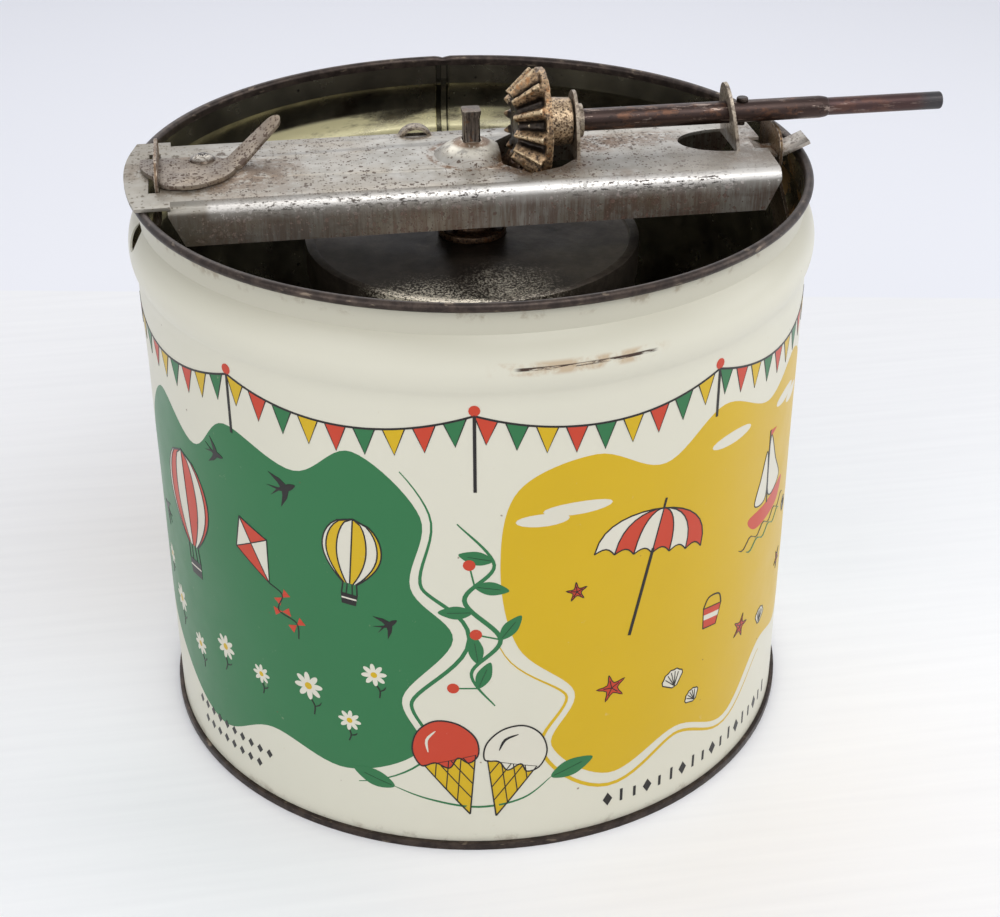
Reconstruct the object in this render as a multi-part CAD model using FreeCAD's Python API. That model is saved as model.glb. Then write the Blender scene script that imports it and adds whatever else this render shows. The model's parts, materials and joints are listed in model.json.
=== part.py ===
import FreeCAD, Part
import math
import os

from FreeCAD import Vector

# Hand crank ice cream freezer: a tinplate tub, a frame that lies across its rim, a crank shaft
# with a bevel pinion, and a can that the pinion turns round a dasher which stands still.
# Millimetres. The origin is the centre of the tub's foot on the table, +Z up, and +X runs along
# the frame to the crank end. The latch is at the -X end.

# ---- driving dimensions: tub ----
tub_radius = 121.45         # outside of the straight wall
rim_above_lid = 28.1        # top of the rolled rim above the top of the can's lid
tub_wall = 0.7
bead_depth = 2.2            # how far the bead stands out of the wall
bead_low_drop = 31.7        # the bead's foot, crest and upper end below the rim
bead_middle_drop = 21.3
bead_high_drop = 11.3
neck_step = 2.1             # how much smaller the neck is than the wall
rim_wire_radius = 0.55
curl_gap = 0.35
curl_open_angle = 75.0      # where the curl stops, below the horizontal
seam_angle = 87.7           # the side seam, round +Z from +X
seam_width = 8.0
seam_thickness = 0.8
seam_foot_gap = 1.5         # above the bottom's panel
drain_angle = 188.0
drain_drop = 14.8           # the drain's middle below the rim
drain_radius = 5.0
drain_reach = 12.0          # how far the drain's punch runs to each side of the wall

# ---- driving dimensions: tub bottom ----
bottom_sheet = 0.7
bottom_panel_height = 3.8
foot_height = 3.0
foot_width = 1.7
seat_gap = 0.05             # between sheets that are seamed together

# ---- driving dimensions: pivot under the can ----
pivot_radius = 4.0
pivot_entry = 0.2           # how far the pin reaches above the underside of the can's floor
pivot_chamfer = 1.0
pivot_base_radius = 12.0
pivot_base = 1.5

# ---- driving dimensions: frame ----
frame_sheet = 1.2
frame_half_width = 30.5
frame_bend = 4.0
frame_crown = 0.8
frame_depth = 15.0
frame_right_gap = 4.1       # between the frame's end and the hook ear
frame_left_gap = 2.8        # between the frame's end and the latch ear
flange_rake = 5.6           # how far the flange ends lean back at the bottom
tongue_overhang = 1.1       # past the outside of the rim
tongue_half_width = 31.5
tongue_overlap = 1.0
tab_half_width = 5.6
tab_across = -5.0           # of the tab's middle from the frame's middle
tab_drop = 2.8
tab_rise_angle = 24.0
tab_overhang = 0.4
# corners of the gear opening, from where the edge of the pinion's disc passes the plate
gear_hole = [(-14.3, -5.07), (-5.5, 4.23), (6.0, -0.07)]
gear_hole_end_gap = 1.0     # past the pinion's hub, at the foot of the inner ear
dome_radius = 14.5
dome_height = 4.6
loop_centre = (-17.5, 25.6)
loop_half_length = 6.5
loop_width = 4.6
loop_height = 3.6

# ---- driving dimensions: bearing ears of the frame ----
ear_above_shaft = 11.1
ear_half_width = 11.6
outer_ear_inset = 11.5      # from the frame's crank end
outer_ear_lean = 8.0
ear_window_length = 19.0
ear_lip_radius = 6.0
ear_lip_length = 2.4

# ---- driving dimensions: shaft ----
shaft_rise = 10.4           # shaft axis above the top of the frame
shaft_radius = 4.0
shaft_gap = 0.06
shoulder_past_rim = 9.45
crank_end_length = 43.5
crank_end_radius = 3.2
shoulder_step = 1.2         # how far the thin end reaches into the thick part
shoulder_round = 0.7
tip_round = 0.9
pin_past_ear = 4.2          # from the outer ear's foot
pin_radius = 1.4
pin_tail = 1.0              # out of the shaft at the bottom
pin_head_radius = 2.1
pin_head = 1.3
pin_round = 0.6

# ---- driving dimensions: bevel pair ----
module = 3.0
pinion_teeth = 12
gear_teeth = 16
pressure_angle = 25.0
addendum_share = 0.9        # of the module
dedendum_share = 1.12
root_cut = 0.3              # of the module, how deep a tooth runs into its blank
flank_steps = 5             # straight pieces in the curve of a tooth's flank
tooth_blank_ends = (0.45, 1.25)     # of the cone's length, where the long tooth wedge starts and ends
backlash = 0.36
pinion_face = 12.2
gear_disc_gap = 0.4         # between the gear's teeth and the pinion's disc
gear_frame_gap = 0.2        # between the gear's teeth and the frame's flat underside
pinion_web = 2.6
pinion_web_rim = 0.6        # how far the web stays inside the tooth tips
pinion_hub_radius = 9.0
pinion_hub_length = 9.4
pinion_hub_taper = 0.6
pinion_ear_gap = 0.4
gear_web = 3.6
gear_hub_radius = 8.0
gear_hub_rise = 2.6
gear_flange_radius = 12.7
gear_flange = 3.0
gear_bore_gap = 0.08

# ---- driving dimensions: can and lid ----
can_radius = 60.2
can_wall = 0.6
can_floor = 15.0
can_foot = 3.0
can_foot_width = 1.0
lid_height = 188.2
lid_sheet = 0.6
lid_skirt = 12.0
lid_gap = 0.3
lid_sink = 1.6
lid_rim_width = 4.0
lid_bore_gap = 0.6
lid_rivet_count = 3
lid_rivet_circle = 10.3
lid_rivet_radius = 1.1
lid_rivet_head = 0.8
lid_hub_margin = 1.2        # of the lid's raised middle round the gear's flange
socket_radius = 9.0
socket_neck_radius = 6.0
socket_gap = 0.12
socket_end_gap = 0.25
socket_floor = 2.6
socket_top = 7.0
stem_seat = 4.0

# ---- driving dimensions: dasher ----
stem_radius = 4.0
stem_end_gap = 0.05
stem_square = 6.35
stem_square_gap = 0.12
stem_rise = 17.7            # top of the stem above the top of the frame
stem_square_length = 21.0
arm_width = 14.0
arm_sheet = 2.5
arm_hub_radius = 9.0
arm_hub_length = 8.0
arm_above_floor = 17.0      # underside of the lower arm
arm_below_lid = 38.2        # underside of the upper arm
scraper_wall_gap = 0.5
scraper_thickness = 4.0
scraper_width = 12.0
scraper_overhang = 6.0
scraper_inset = 1.0
scraper_pin_radius = 1.25
scraper_pin_share = 0.6     # of the blade's thickness
beater_radius = 2.5
beater_circle = 26.0

# ---- driving dimensions: ears on the tub ----
tub_ear_sheet = 1.3
latch_ear_half_width = 17.5
hook_ear_half_width = 13.0
tub_ear_inset = 10.85       # the side that faces the can, from the outside of the wall
tub_ear_knee_drop = 9.3     # the ear's bend, its upper end on the wall and its foot below the rim
tub_ear_wall_top_drop = 36.3
tub_ear_foot_drop = 66.3
tub_ear_wall_gap = 0.1
latch_ear_rise = 9.0        # above the frame
hook_ear_shaft_gap = 0.6    # under the shaft
tub_ear_corner = 7.0
ear_slot_gap = 0.4

# ---- driving dimensions: latch ----
lever_sheet = 1.5
lever_lift = 0.1
lever_pivot_inset = 15.3    # from the latch ear
lever_pivot_across = 5.5
lever_nose_radius = 22.0
lever_nose_back = 3.5       # of the nose's back edge from the pivot, along Y
lever_nose_front = -7.5     # of its front edge
lever_shoulder_gap = 0.4
# the lever's outline from the pivot: its back corner, the shoulder's front corner, then the lobe
lever_back_corner = (3.3, 3.5)
lever_shoulder_front = -21.0
lever_lobe_front = [(-7.7, -24.3), (2.3, -21.5)]
lever_lobe_side = [(8.0, -16.7), (11.3, -9.9)]
lever_lobe_back = (9.9, -2.9)
lever_lobe_corner = (6.7, 0.7)
lever_slot_half_length = 12.6
slot_side_gap = 1.2
slot_past_ear = 3.6
handle_root_width = 10.0
handle_tip_width = 7.0
handle_flat = 3.0           # from the handle's root to its bend
handle_length = 19.5        # from the bend to the tip, seen from above
handle_rise = 12.4
handle_turn = 31.2
handle_root = (8.6, -4.6)   # from the pivot
rivet_radius = 2.4
rivet_gap = 0.06
rivet_head_radius = 4.7
rivet_head = 2.3
rivet_tail_radius = 3.6
rivet_tail = 1.2

# ---- worked out from the driving dimensions ----
rim_top = lid_height + rim_above_lid
bead_low = rim_top - bead_low_drop
bead_middle = rim_top - bead_middle_drop
bead_high = rim_top - bead_high_drop
drain_height = rim_top - drain_drop
frame_top = rim_top + frame_sheet
frame_ridge = frame_top + frame_crown
shaft_height = frame_ridge + shaft_rise
tub_inside = tub_radius - tub_wall
neck_radius = tub_radius - neck_step
curl_hole = rim_wire_radius + curl_gap
curl_radius = curl_hole + tub_wall
curl_centre = (neck_radius - tub_wall + curl_radius, rim_top - curl_radius)
rim_outside = curl_centre[0] + curl_radius
tub_ear_x = tub_radius - tub_ear_inset
tub_ear_knee = rim_top - tub_ear_knee_drop
tub_ear_wall_top = rim_top - tub_ear_wall_top_drop
tub_ear_foot = rim_top - tub_ear_foot_drop
frame_right_end = tub_ear_x - frame_right_gap
frame_left_end = tub_ear_x - frame_left_gap
outer_ear_x = frame_right_end - outer_ear_inset
pin_x = outer_ear_x + pin_past_ear
shoulder_x = rim_outside + shoulder_past_rim
crank_end_x = shoulder_x + crank_end_length
lever_pivot = (lever_pivot_inset - tub_ear_x, lever_pivot_across)
slot_outer_x = tub_ear_x + slot_past_ear
pitch_pinion = module * pinion_teeth / 2
pitch_gear = module * gear_teeth / 2
cone_length = math.hypot(pitch_pinion, pitch_gear)
addendum = addendum_share * module
dedendum = dedendum_share * module
pinion_web_radius = pitch_pinion + addendum * pitch_gear / cone_length - pinion_web_rim
inner_ear_x = pitch_gear + pinion_web + pinion_hub_length + pinion_ear_gap
ear_height = shaft_rise + ear_above_shaft
lever_bottom = frame_ridge + lever_lift
lever_top = lever_bottom + lever_sheet
tab_top = frame_ridge - tab_drop
floor_top = bottom_panel_height + bottom_sheet
pivot_top = can_floor + pivot_entry
socket_low = can_floor - can_wall - socket_floor
stem_bottom = can_floor + socket_top - stem_seat
arm_low = can_floor + arm_above_floor
arm_high = lid_height - arm_below_lid
scraper_reach = math.sqrt((can_radius - can_wall - scraper_wall_gap) ** 2 - (scraper_width / 2) ** 2)
arm_length = scraper_reach - scraper_thickness - seat_gap


# ---- helpers ----
def polar(centre, radius, degrees):
    angle = math.radians(degrees)
    return (centre[0] + radius * math.cos(angle), centre[1] + radius * math.sin(angle))


def face_of(place, start, steps):
    """A flat face. A step is the next point, or a pair: a point the arc passes and its end."""
    edges = []
    here = start
    for step in steps:
        if isinstance(step[0], tuple):
            middle, end = step
            edges.append(Part.Arc(place(here), place(middle), place(end)).toShape())
        else:
            end = step
            edges.append(Part.makeLine(place(here), place(end)))
        here = end
    return Part.Face(Part.Wire(edges))


def on_xz(point):
    return Vector(point[0], 0, point[1])


def on_yz(point):
    return Vector(0, point[0], point[1])


def on_xy(point):
    return Vector(point[0], point[1], 0)


def polygon(place, points):
    return face_of(place, points[0], list(points[1:]) + [points[0]])


def turned(face, degrees=360.0):
    return face.revolve(Vector(0, 0, 0), Vector(0, 0, 1), degrees)


def cylinder(radius, bottom, top, x=0.0, y=0.0):
    return Part.makeCylinder(radius, top - bottom, Vector(x, y, bottom))


def rod_x(radius, start, end, y=0.0, z=0.0):
    return Part.makeCylinder(radius, end - start, Vector(start, y, z), Vector(1, 0, 0))


def box(x0, x1, y0, y1, z0, z1):
    return Part.makeBox(x1 - x0, y1 - y0, z1 - z0, Vector(x0, y0, z0))


def prism_z(points, bottom, top):
    face = polygon(on_xy, points)
    face.translate(Vector(0, 0, bottom))
    return face.extrude(Vector(0, 0, top - bottom))


def mirrored_points(points):
    return points + [(x, -y) for x, y in reversed(points)]


def joined(body, pieces):
    for piece in pieces:
        body = body.fuse(piece)
    return body


def save(shape, name):
    shape.exportStep(os.path.join("parts", name + ".step"))


# ---- tub ----
def wall_line(inset):
    """Points of the wall's side from the bottom to the rim, moved in by inset."""
    return [
        (tub_radius - inset, bead_low),
        ((tub_radius + bead_depth - inset, bead_middle), (neck_radius - inset, bead_high)),
        (neck_radius - inset, curl_centre[1]),
    ]


def tub_shell():
    wall_foot = bottom_sheet + seat_gap
    curl_end = -curl_open_angle
    inner_side = wall_line(tub_wall)
    over_curl = [
        (polar(curl_centre, curl_radius, 90), polar(curl_centre, curl_radius, 0)),
        (polar(curl_centre, curl_radius, curl_end / 2), polar(curl_centre, curl_radius, curl_end)),
        polar(curl_centre, curl_hole, curl_end),
        (polar(curl_centre, curl_hole, curl_end / 2), polar(curl_centre, curl_hole, 0)),
        (polar(curl_centre, curl_hole, 90), (neck_radius, curl_centre[1])),
    ]
    outer_side = [
        (neck_radius, bead_high),
        ((tub_radius + bead_depth, bead_middle), (tub_radius, bead_low)),
        (tub_radius, wall_foot),
        (tub_inside, wall_foot),
    ]
    start = (tub_inside, wall_foot)
    shell = turned(face_of(on_xz, start, inner_side + over_curl + outer_side))
    shell = shell.fuse(side_seam())
    drain = rod_x(drain_radius, tub_radius - drain_reach, tub_radius + drain_reach, z=drain_height)
    drain.rotate(Vector(0, 0, 0), Vector(0, 0, 1), drain_angle)
    return shell.cut(drain).removeSplitter()


def side_seam():
    """The folded side seam: a strip up the inside of the wall."""
    fold = seam_thickness + tub_wall / 2
    seam_foot = floor_top + seam_foot_gap
    start = (tub_inside - seam_thickness, seam_foot)
    up = wall_line(tub_wall + seam_thickness)
    across = [(neck_radius - tub_wall / 2, curl_centre[1])]
    down = [
        (neck_radius - tub_wall / 2, bead_high),
        ((tub_radius + bead_depth - tub_wall / 2, bead_middle), (tub_radius - tub_wall / 2, bead_low)),
        (tub_inside - seam_thickness + fold, seam_foot),
        start,
    ]
    sweep = math.degrees(seam_width / tub_radius)
    strip = turned(face_of(on_xz, start, up + across + down), sweep)
    strip.rotate(Vector(0, 0, 0), Vector(0, 0, 1), seam_angle - sweep / 2)
    return strip


def rim_wire():
    ring = Part.makeTorus(curl_centre[0], rim_wire_radius)
    ring.translate(Vector(0, 0, curl_centre[1]))
    return ring


def tub_bottom():
    leg = tub_inside - seat_gap
    outside = tub_radius + foot_width
    points = [
        (0, bottom_panel_height),
        (leg - bottom_sheet, bottom_panel_height),
        (leg - bottom_sheet, 0),
        (outside, 0),
        (outside, foot_height),
        (tub_radius + seat_gap, foot_height),
        (tub_radius + seat_gap, bottom_sheet),
        (leg, bottom_sheet),
        (leg, floor_top),
        (0, floor_top),
    ]
    return turned(polygon(on_xz, points))


def can_pivot():
    base = cylinder(pivot_base_radius, floor_top, floor_top + pivot_base)
    pin = cylinder(pivot_radius, floor_top, pivot_top)
    top_edge = [e for e in pin.Edges if e.BoundBox.ZMin > pivot_top - pivot_chamfer]
    return base.fuse(pin.makeChamfer(pivot_chamfer, top_edge))


# ---- frame ----
def channel_section():
    half = frame_half_width
    flat = half - frame_bend
    bottom = frame_top - frame_depth
    inner_bend = frame_bend - frame_sheet
    corner = (flat, frame_top - frame_bend)

    def side(radius, sign):
        middle = polar(corner, radius, 45)
        return (sign * middle[0], middle[1])

    start = (-half, bottom)
    steps = [
        (-half, corner[1]),
        (side(frame_bend, -1), (-flat, frame_top)),
        ((0, frame_ridge), (flat, frame_top)),
        (side(frame_bend, 1), (half, corner[1])),
        (half, bottom),
        (half - frame_sheet, bottom),
        (half - frame_sheet, corner[1]),
        (side(inner_bend, 1), (flat, frame_top - frame_sheet)),
        ((0, frame_ridge - frame_sheet), (-flat, frame_top - frame_sheet)),
        (side(inner_bend, -1), (frame_sheet - half, corner[1])),
        (frame_sheet - half, bottom),
        start,
    ]
    return face_of(on_yz, start, steps)


def plate_section(half):
    """The frame's crowned top alone, with flat wings out to half."""
    flat = frame_half_width - frame_bend
    start = (-half, frame_top)
    steps = [
        (-flat, frame_top),
        ((0, frame_ridge), (flat, frame_top)),
        (half, frame_top),
        (half, frame_top - frame_sheet),
        (flat, frame_top - frame_sheet),
        ((0, frame_ridge - frame_sheet), (-flat, frame_top - frame_sheet)),
        (-half, frame_top - frame_sheet),
        start,
    ]
    return face_of(on_yz, start, steps)


def along_x(face, start, end):
    moved = face.copy()
    moved.translate(Vector(start, 0, 0))
    return moved.extrude(Vector(end - start, 0, 0))


def channel():
    body = along_x(channel_section(), -frame_left_end, frame_right_end)
    bottom = frame_top - frame_depth
    margin = frame_sheet
    for sign, end in ((-1, frame_left_end), (1, frame_right_end)):
        wedge = polygon(on_xz, [
            (sign * end, frame_top - frame_bend),
            (sign * (end + margin), frame_top - frame_bend),
            (sign * (end + margin), bottom - margin),
            (sign * (end - flange_rake), bottom - margin),
        ])
        wedge.translate(Vector(0, -frame_half_width - margin, 0))
        body = body.cut(wedge.extrude(Vector(0, 2 * (frame_half_width + margin), 0)))
    return body


def tongue():
    """The latch end of the frame, which lies on the rim and ends in line with it."""
    reach = rim_outside + tongue_overhang
    plate = along_x(plate_section(tongue_half_width), -reach, tongue_overlap - frame_left_end)
    return plate.common(cylinder(reach, frame_top - frame_depth, frame_ridge + frame_sheet))


def tab():
    """The crank end's tab: it drops through the hook ear's slot and rises over the rim."""
    flat_end = tub_ear_x + tub_ear_sheet + ear_slot_gap
    slope = math.tan(math.radians(tab_rise_angle))
    reach = rim_outside + tab_overhang
    tip = tab_top + (reach - flat_end) * slope
    drop_end = frame_right_end + frame_sheet
    drop_start = drop_end - 2 * tab_drop
    sheet = frame_sheet
    section = polygon(on_xz, [
        (drop_start, frame_ridge - sheet),
        (drop_start, frame_ridge),
        (drop_end, tab_top),
        (flat_end, tab_top),
        (reach, tip),
        (reach + sheet * slope, tip - sheet),
        (flat_end, tab_top - sheet),
        (drop_end, tab_top - sheet),
    ])
    section.translate(Vector(0, tab_across - tab_half_width, 0))
    return section.extrude(Vector(0, 2 * tab_half_width, 0)), drop_start


def ear_plate(x):
    """A bearing ear: half an ellipse that stands on the plate, its side at x."""
    foot = frame_ridge - frame_sheet
    rise = frame_ridge + ear_height - foot
    half = Part.Ellipse(Vector(0, 0, 0), rise, ear_half_width).toShape()
    ear = Part.Face(Part.Wire([half]))
    ear.rotate(Vector(0, 0, 0), Vector(0, 1, 0), -90)
    ear.translate(Vector(0, 0, foot))
    solid = ear.extrude(Vector(frame_sheet, 0, 0))
    half_box = 2 * ear_half_width
    below = box(-frame_sheet, 2 * frame_sheet, -half_box, half_box, foot - 2 * rise, foot)
    solid = solid.cut(below)
    solid.translate(Vector(x, 0, 0))
    return solid


def ear_window():
    """The half oval that the outer ear was bent up from."""
    edge = Part.Ellipse(Vector(0, 0, 0), ear_window_length, ear_half_width).toShape()
    oval = Part.Face(Part.Wire([edge]))
    oval.translate(Vector(outer_ear_x, 0, frame_top - frame_depth))
    solid = oval.extrude(Vector(0, 0, frame_depth + 2 * frame_crown))
    half_box = 2 * ear_half_width
    right = box(outer_ear_x, outer_ear_x + 2 * ear_window_length, -half_box, half_box,
                frame_top - frame_depth, frame_ridge + frame_crown)
    return solid.cut(right)


def dome():
    """The boss over the stem: a shallow cap pressed up out of the plate."""
    base = frame_ridge - frame_sheet
    rise = dome_height + frame_sheet

    def cap(radius, height):
        sphere = (radius ** 2 + height ** 2) / (2 * height)
        ball = Part.makeSphere(sphere, Vector(0, 0, base + height - sphere))
        return ball.common(cylinder(radius, base, base + height))

    outer = cap(dome_radius, rise)
    inner = cap(dome_radius - frame_sheet, rise - frame_sheet)
    return outer.cut(inner), inner


def loop():
    """The small bridge lanced up near the frame's back edge."""
    x, y = loop_centre
    base = frame_top - frame_sheet

    def arch(half, height):
        start = (x - half, base)
        steps = [((x, base + height), (x + half, base)), start]
        face = face_of(on_xz, start, steps)
        face.translate(Vector(0, y - loop_width / 2, 0))
        return face.extrude(Vector(0, loop_width, 0))

    outer = arch(loop_half_length, loop_height + frame_sheet)
    half = loop_half_length - frame_sheet
    inner = arch(half, loop_height)
    lanced = box(x - half, x + half, y - loop_width / 2, y + loop_width / 2, base - frame_bend, base)
    return outer.cut(inner), inner.fuse(lanced)


def square_stem(gap, bottom, top):
    side = stem_square / 2 + gap
    square = box(-side, side, -side, side, bottom, top)
    return square.common(cylinder(stem_radius + gap, bottom, top))


def gear_opening():
    disc_half_width = math.sqrt(pinion_web_radius ** 2 - shaft_rise ** 2)
    points = [(pitch_gear + x, disc_half_width + y) for x, y in gear_hole]
    points.append((inner_ear_x, pinion_hub_radius + gear_hole_end_gap))
    return prism_z(mirrored_points(points), frame_top - frame_depth, frame_ridge + 2 * dome_height)


def ear_slot_in_tongue():
    half = latch_ear_half_width + slot_side_gap
    low = frame_top - frame_depth
    return box(-slot_outer_x, -tub_ear_x + ear_slot_gap, -half, half, low, frame_ridge + frame_sheet)


def frame_channel():
    crank_tab, tab_start = tab()
    drop_way = box(tab_start, frame_right_end + frame_sheet, tab_across - tab_half_width,
                   tab_across + tab_half_width, frame_top - frame_depth, frame_ridge + frame_sheet)
    body = channel().fuse(tongue()).cut(drop_way).fuse(crank_tab)
    opening = gear_opening()
    body = body.cut(opening).cut(ear_window())
    inner_ear = ear_plate(inner_ear_x)
    lip = rod_x(ear_lip_radius, inner_ear_x, inner_ear_x + frame_sheet + ear_lip_length, z=shaft_height)
    outer_ear = ear_plate(outer_ear_x)
    outer_ear.rotate(Vector(outer_ear_x, 0, frame_ridge), Vector(0, 1, 0), -outer_ear_lean)
    cap, hollow = dome()
    bridge, bridge_way = loop()
    body = body.cut(cylinder(dome_radius - frame_sheet, frame_top - frame_depth, frame_ridge + frame_sheet))
    body = body.cut(bridge_way)
    body = joined(body, [inner_ear, lip, outer_ear, cap.cut(opening), bridge])
    shaft_way = rod_x(shaft_radius + shaft_gap, inner_ear_x - frame_sheet, frame_right_end, z=shaft_height)
    body = body.cut(shaft_way)
    body = body.cut(square_stem(stem_square_gap, frame_top, frame_ridge + 2 * dome_height))
    body = body.cut(ear_slot_in_tongue())
    rivet_hole = cylinder(rivet_radius, frame_top - frame_depth, frame_ridge + frame_sheet, *lever_pivot)
    return body.cut(rivet_hole)


# ---- ears on the tub ----
def tub_ear(half, top, slot_low, slot_high, slot_start, slot_end):
    """An ear on the inside of the wall: flat at its foot, cranked in under the rim."""
    wall_x = math.sqrt(tub_inside ** 2 - half ** 2) - tub_ear_wall_gap - tub_ear_sheet
    sheet = tub_ear_sheet
    section = polygon(on_xz, [
        (tub_ear_x, top),
        (tub_ear_x, tub_ear_knee),
        (wall_x, tub_ear_wall_top),
        (wall_x, tub_ear_foot),
        (wall_x + sheet, tub_ear_foot),
        (wall_x + sheet, tub_ear_wall_top),
        (tub_ear_x + sheet, tub_ear_knee),
        (tub_ear_x + sheet, top),
    ])
    section.translate(Vector(0, -half, 0))
    ear = section.extrude(Vector(0, 2 * half, 0))
    corner = tub_ear_corner
    outline = face_of(on_yz, (-half, tub_ear_foot), [
        (-half, top - corner),
        (polar((-half + corner, top - corner), corner, 135), (-half + corner, top)),
        (half - corner, top),
        (polar((half - corner, top - corner), corner, 45), (half, top - corner)),
        (half, tub_ear_foot),
        (-half, tub_ear_foot),
    ])
    ear = ear.common(outline.extrude(Vector(tub_radius, 0, 0)))
    slot = box(tub_ear_x - sheet, tub_ear_x + 2 * sheet, slot_start, slot_end, slot_low, slot_high)
    return ear.cut(slot)


def latch_ear():
    top = frame_top + latch_ear_rise
    low = lever_bottom - ear_slot_gap
    ear = tub_ear(latch_ear_half_width, top, low, lever_top + ear_slot_gap,
                  -lever_slot_half_length, lever_slot_half_length)
    ear.rotate(Vector(0, 0, 0), Vector(0, 0, 1), 180)
    return ear


def hook_ear():
    top = shaft_height - shaft_radius - hook_ear_shaft_gap
    low = tab_top - frame_sheet - ear_slot_gap
    slot_half = tab_half_width + ear_slot_gap
    return tub_ear(hook_ear_half_width, top, low, tab_top + ear_slot_gap,
                   tab_across - slot_half, tab_across + slot_half)


# ---- latch ----
def nose_corner(across):
    """A corner of the lever's nose, on its round end, at a distance from the pivot along Y."""
    px, py = lever_pivot
    return (px - math.sqrt(lever_nose_radius ** 2 - across ** 2), py + across)


def latch_lever():
    px, py = lever_pivot
    shoulder_x = -tub_ear_x + lever_shoulder_gap

    def from_pivot(point):
        return (px + point[0], py + point[1])

    front_middle, front_end = [from_pivot(p) for p in lever_lobe_front]
    side_middle, side_end = [from_pivot(p) for p in lever_lobe_side]
    start = from_pivot(lever_back_corner)
    plate = face_of(on_xy, start, [
        nose_corner(lever_nose_back),
        ((px - lever_nose_radius, py), nose_corner(lever_nose_front)),
        (shoulder_x, py + lever_nose_front),
        (shoulder_x, py + lever_shoulder_front),
        (front_middle, front_end),
        (side_middle, side_end),
        from_pivot(lever_lobe_back),
        (from_pivot(lever_lobe_corner), start),
    ])
    plate.translate(Vector(0, 0, lever_bottom))
    plate = plate.extrude(Vector(0, 0, lever_sheet))
    bore = cylinder(rivet_radius + rivet_gap, lever_bottom - lever_sheet, lever_top + lever_sheet, px, py)
    return plate.fuse(lever_handle()).cut(bore).removeSplitter()


def lever_handle():
    """The finger end of the lever: a narrow strip bent up out of the plate."""
    length = handle_flat + handle_length
    section = polygon(on_xz, [
        (0, 0),
        (handle_flat, 0),
        (length, handle_rise),
        (length, handle_rise + lever_sheet),
        (handle_flat, lever_sheet),
        (0, lever_sheet),
    ])
    root = handle_root_width / 2
    tip = handle_tip_width / 2
    section.translate(Vector(0, -root, 0))
    strip = section.extrude(Vector(0, 2 * root, 0))
    plan = face_of(on_xy, (0, -root), [
        (length - tip, -tip),
        ((length, 0), (length - tip, tip)),
        (0, root),
        (0, -root),
    ])
    strip = strip.common(plan.extrude(Vector(0, 0, 2 * handle_rise)))
    strip.rotate(Vector(0, 0, 0), Vector(0, 0, 1), handle_turn)
    strip.translate(Vector(lever_pivot[0] + handle_root[0], lever_pivot[1] + handle_root[1], lever_bottom))
    return strip


def latch_rivet():
    px, py = lever_pivot
    head_low = lever_top + seat_gap
    under = frame_top - frame_sheet
    shank = cylinder(rivet_radius, under, head_low + rivet_head / 2, px, py)
    ball_radius = (rivet_head_radius ** 2 + rivet_head ** 2) / (2 * rivet_head)
    ball = Part.makeSphere(ball_radius, Vector(px, py, head_low + rivet_head - ball_radius))
    head = ball.common(cylinder(rivet_head_radius, head_low, head_low + rivet_head, px, py))
    tail = cylinder(rivet_tail_radius, under - rivet_tail, under, px, py)
    return joined(shank, [head, tail]).removeSplitter()


# ---- crank ----
def round_end(rod, end_x, radius):
    edges = [e for e in rod.Edges if e.BoundBox.XMin > end_x - radius]
    return rod.makeFillet(radius, edges)


def pinion_start_x():
    return pitch_gear * (1 - pinion_face / cone_length)


def crank_shaft():
    thick = rod_x(shaft_radius, pinion_start_x() + module / 2, shoulder_x, z=shaft_height)
    thin = rod_x(crank_end_radius, shoulder_x - shoulder_step, crank_end_x, z=shaft_height)
    shaft = round_end(thick, shoulder_x, shoulder_round).fuse(round_end(thin, crank_end_x, tip_round))
    reach = 2 * shaft_radius
    pin_hole = cylinder(pin_radius, shaft_height - reach, shaft_height + reach, pin_x)
    return shaft.cut(pin_hole).removeSplitter()


def retaining_pin():
    head_low = shaft_height + shaft_radius + seat_gap
    pin = cylinder(pin_radius, shaft_height - shaft_radius - pin_tail, head_low, pin_x)
    head = cylinder(pin_head_radius, head_low, head_low + pin_head, pin_x)
    top_edge = [e for e in head.Edges if e.BoundBox.ZMin > head_low + pin_round]
    return pin.fuse(head.makeFillet(pin_round, top_edge)).removeSplitter()


# ---- bevel pair ----
# Both gears are drawn with their axis on Z and the common apex at the origin, teeth toward the apex.
def tooth_outline(pitch_radius, cone_angle):
    """One side of a tooth on the back cone laid flat: distance from its apex and half angle."""
    flat_radius = pitch_radius / math.cos(cone_angle)
    pressure = math.radians(pressure_angle)
    base = flat_radius * math.cos(pressure)
    half_at_base = (math.pi * module / 2 - backlash) / 2 / flat_radius + math.tan(pressure) - pressure
    root = flat_radius - dedendum
    tip = flat_radius + addendum
    side = [(root - root_cut * module, half_at_base)]
    low = max(base, root)
    for i in range(flank_steps + 1):
        distance = low + (tip - low) * i / flank_steps
        angle = math.acos(min(1.0, base / distance))
        side.append((distance, half_at_base - (math.tan(angle) - angle)))
    return side


def tooth_blank(pitch_radius, cone_angle):
    """A tooth as a long wedge that narrows to the apex, centred on +X."""
    flat_radius = pitch_radius / math.cos(cone_angle)
    depth = pitch_radius / math.tan(cone_angle)
    direction = Vector(math.sin(cone_angle), 0, -math.cos(cone_angle))
    side = tooth_outline(pitch_radius, cone_angle)
    corners = [(d, a) for d, a in side] + [(d, -a) for d, a in reversed(side)]
    points = []
    for distance, half_angle in corners:
        turn = half_angle / math.cos(cone_angle)
        radius = distance * math.cos(cone_angle)
        height = -depth + (distance - flat_radius) * math.sin(cone_angle)
        points.append(Vector(radius * math.cos(turn), radius * math.sin(turn), height))
    wires = []
    for share in tooth_blank_ends:
        plane = [p * (share * cone_length / p.dot(direction)) for p in points]
        wires.append(Part.makePolygon(plane + [plane[0]]))
    return Part.makeLoft(wires, True, True)


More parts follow.
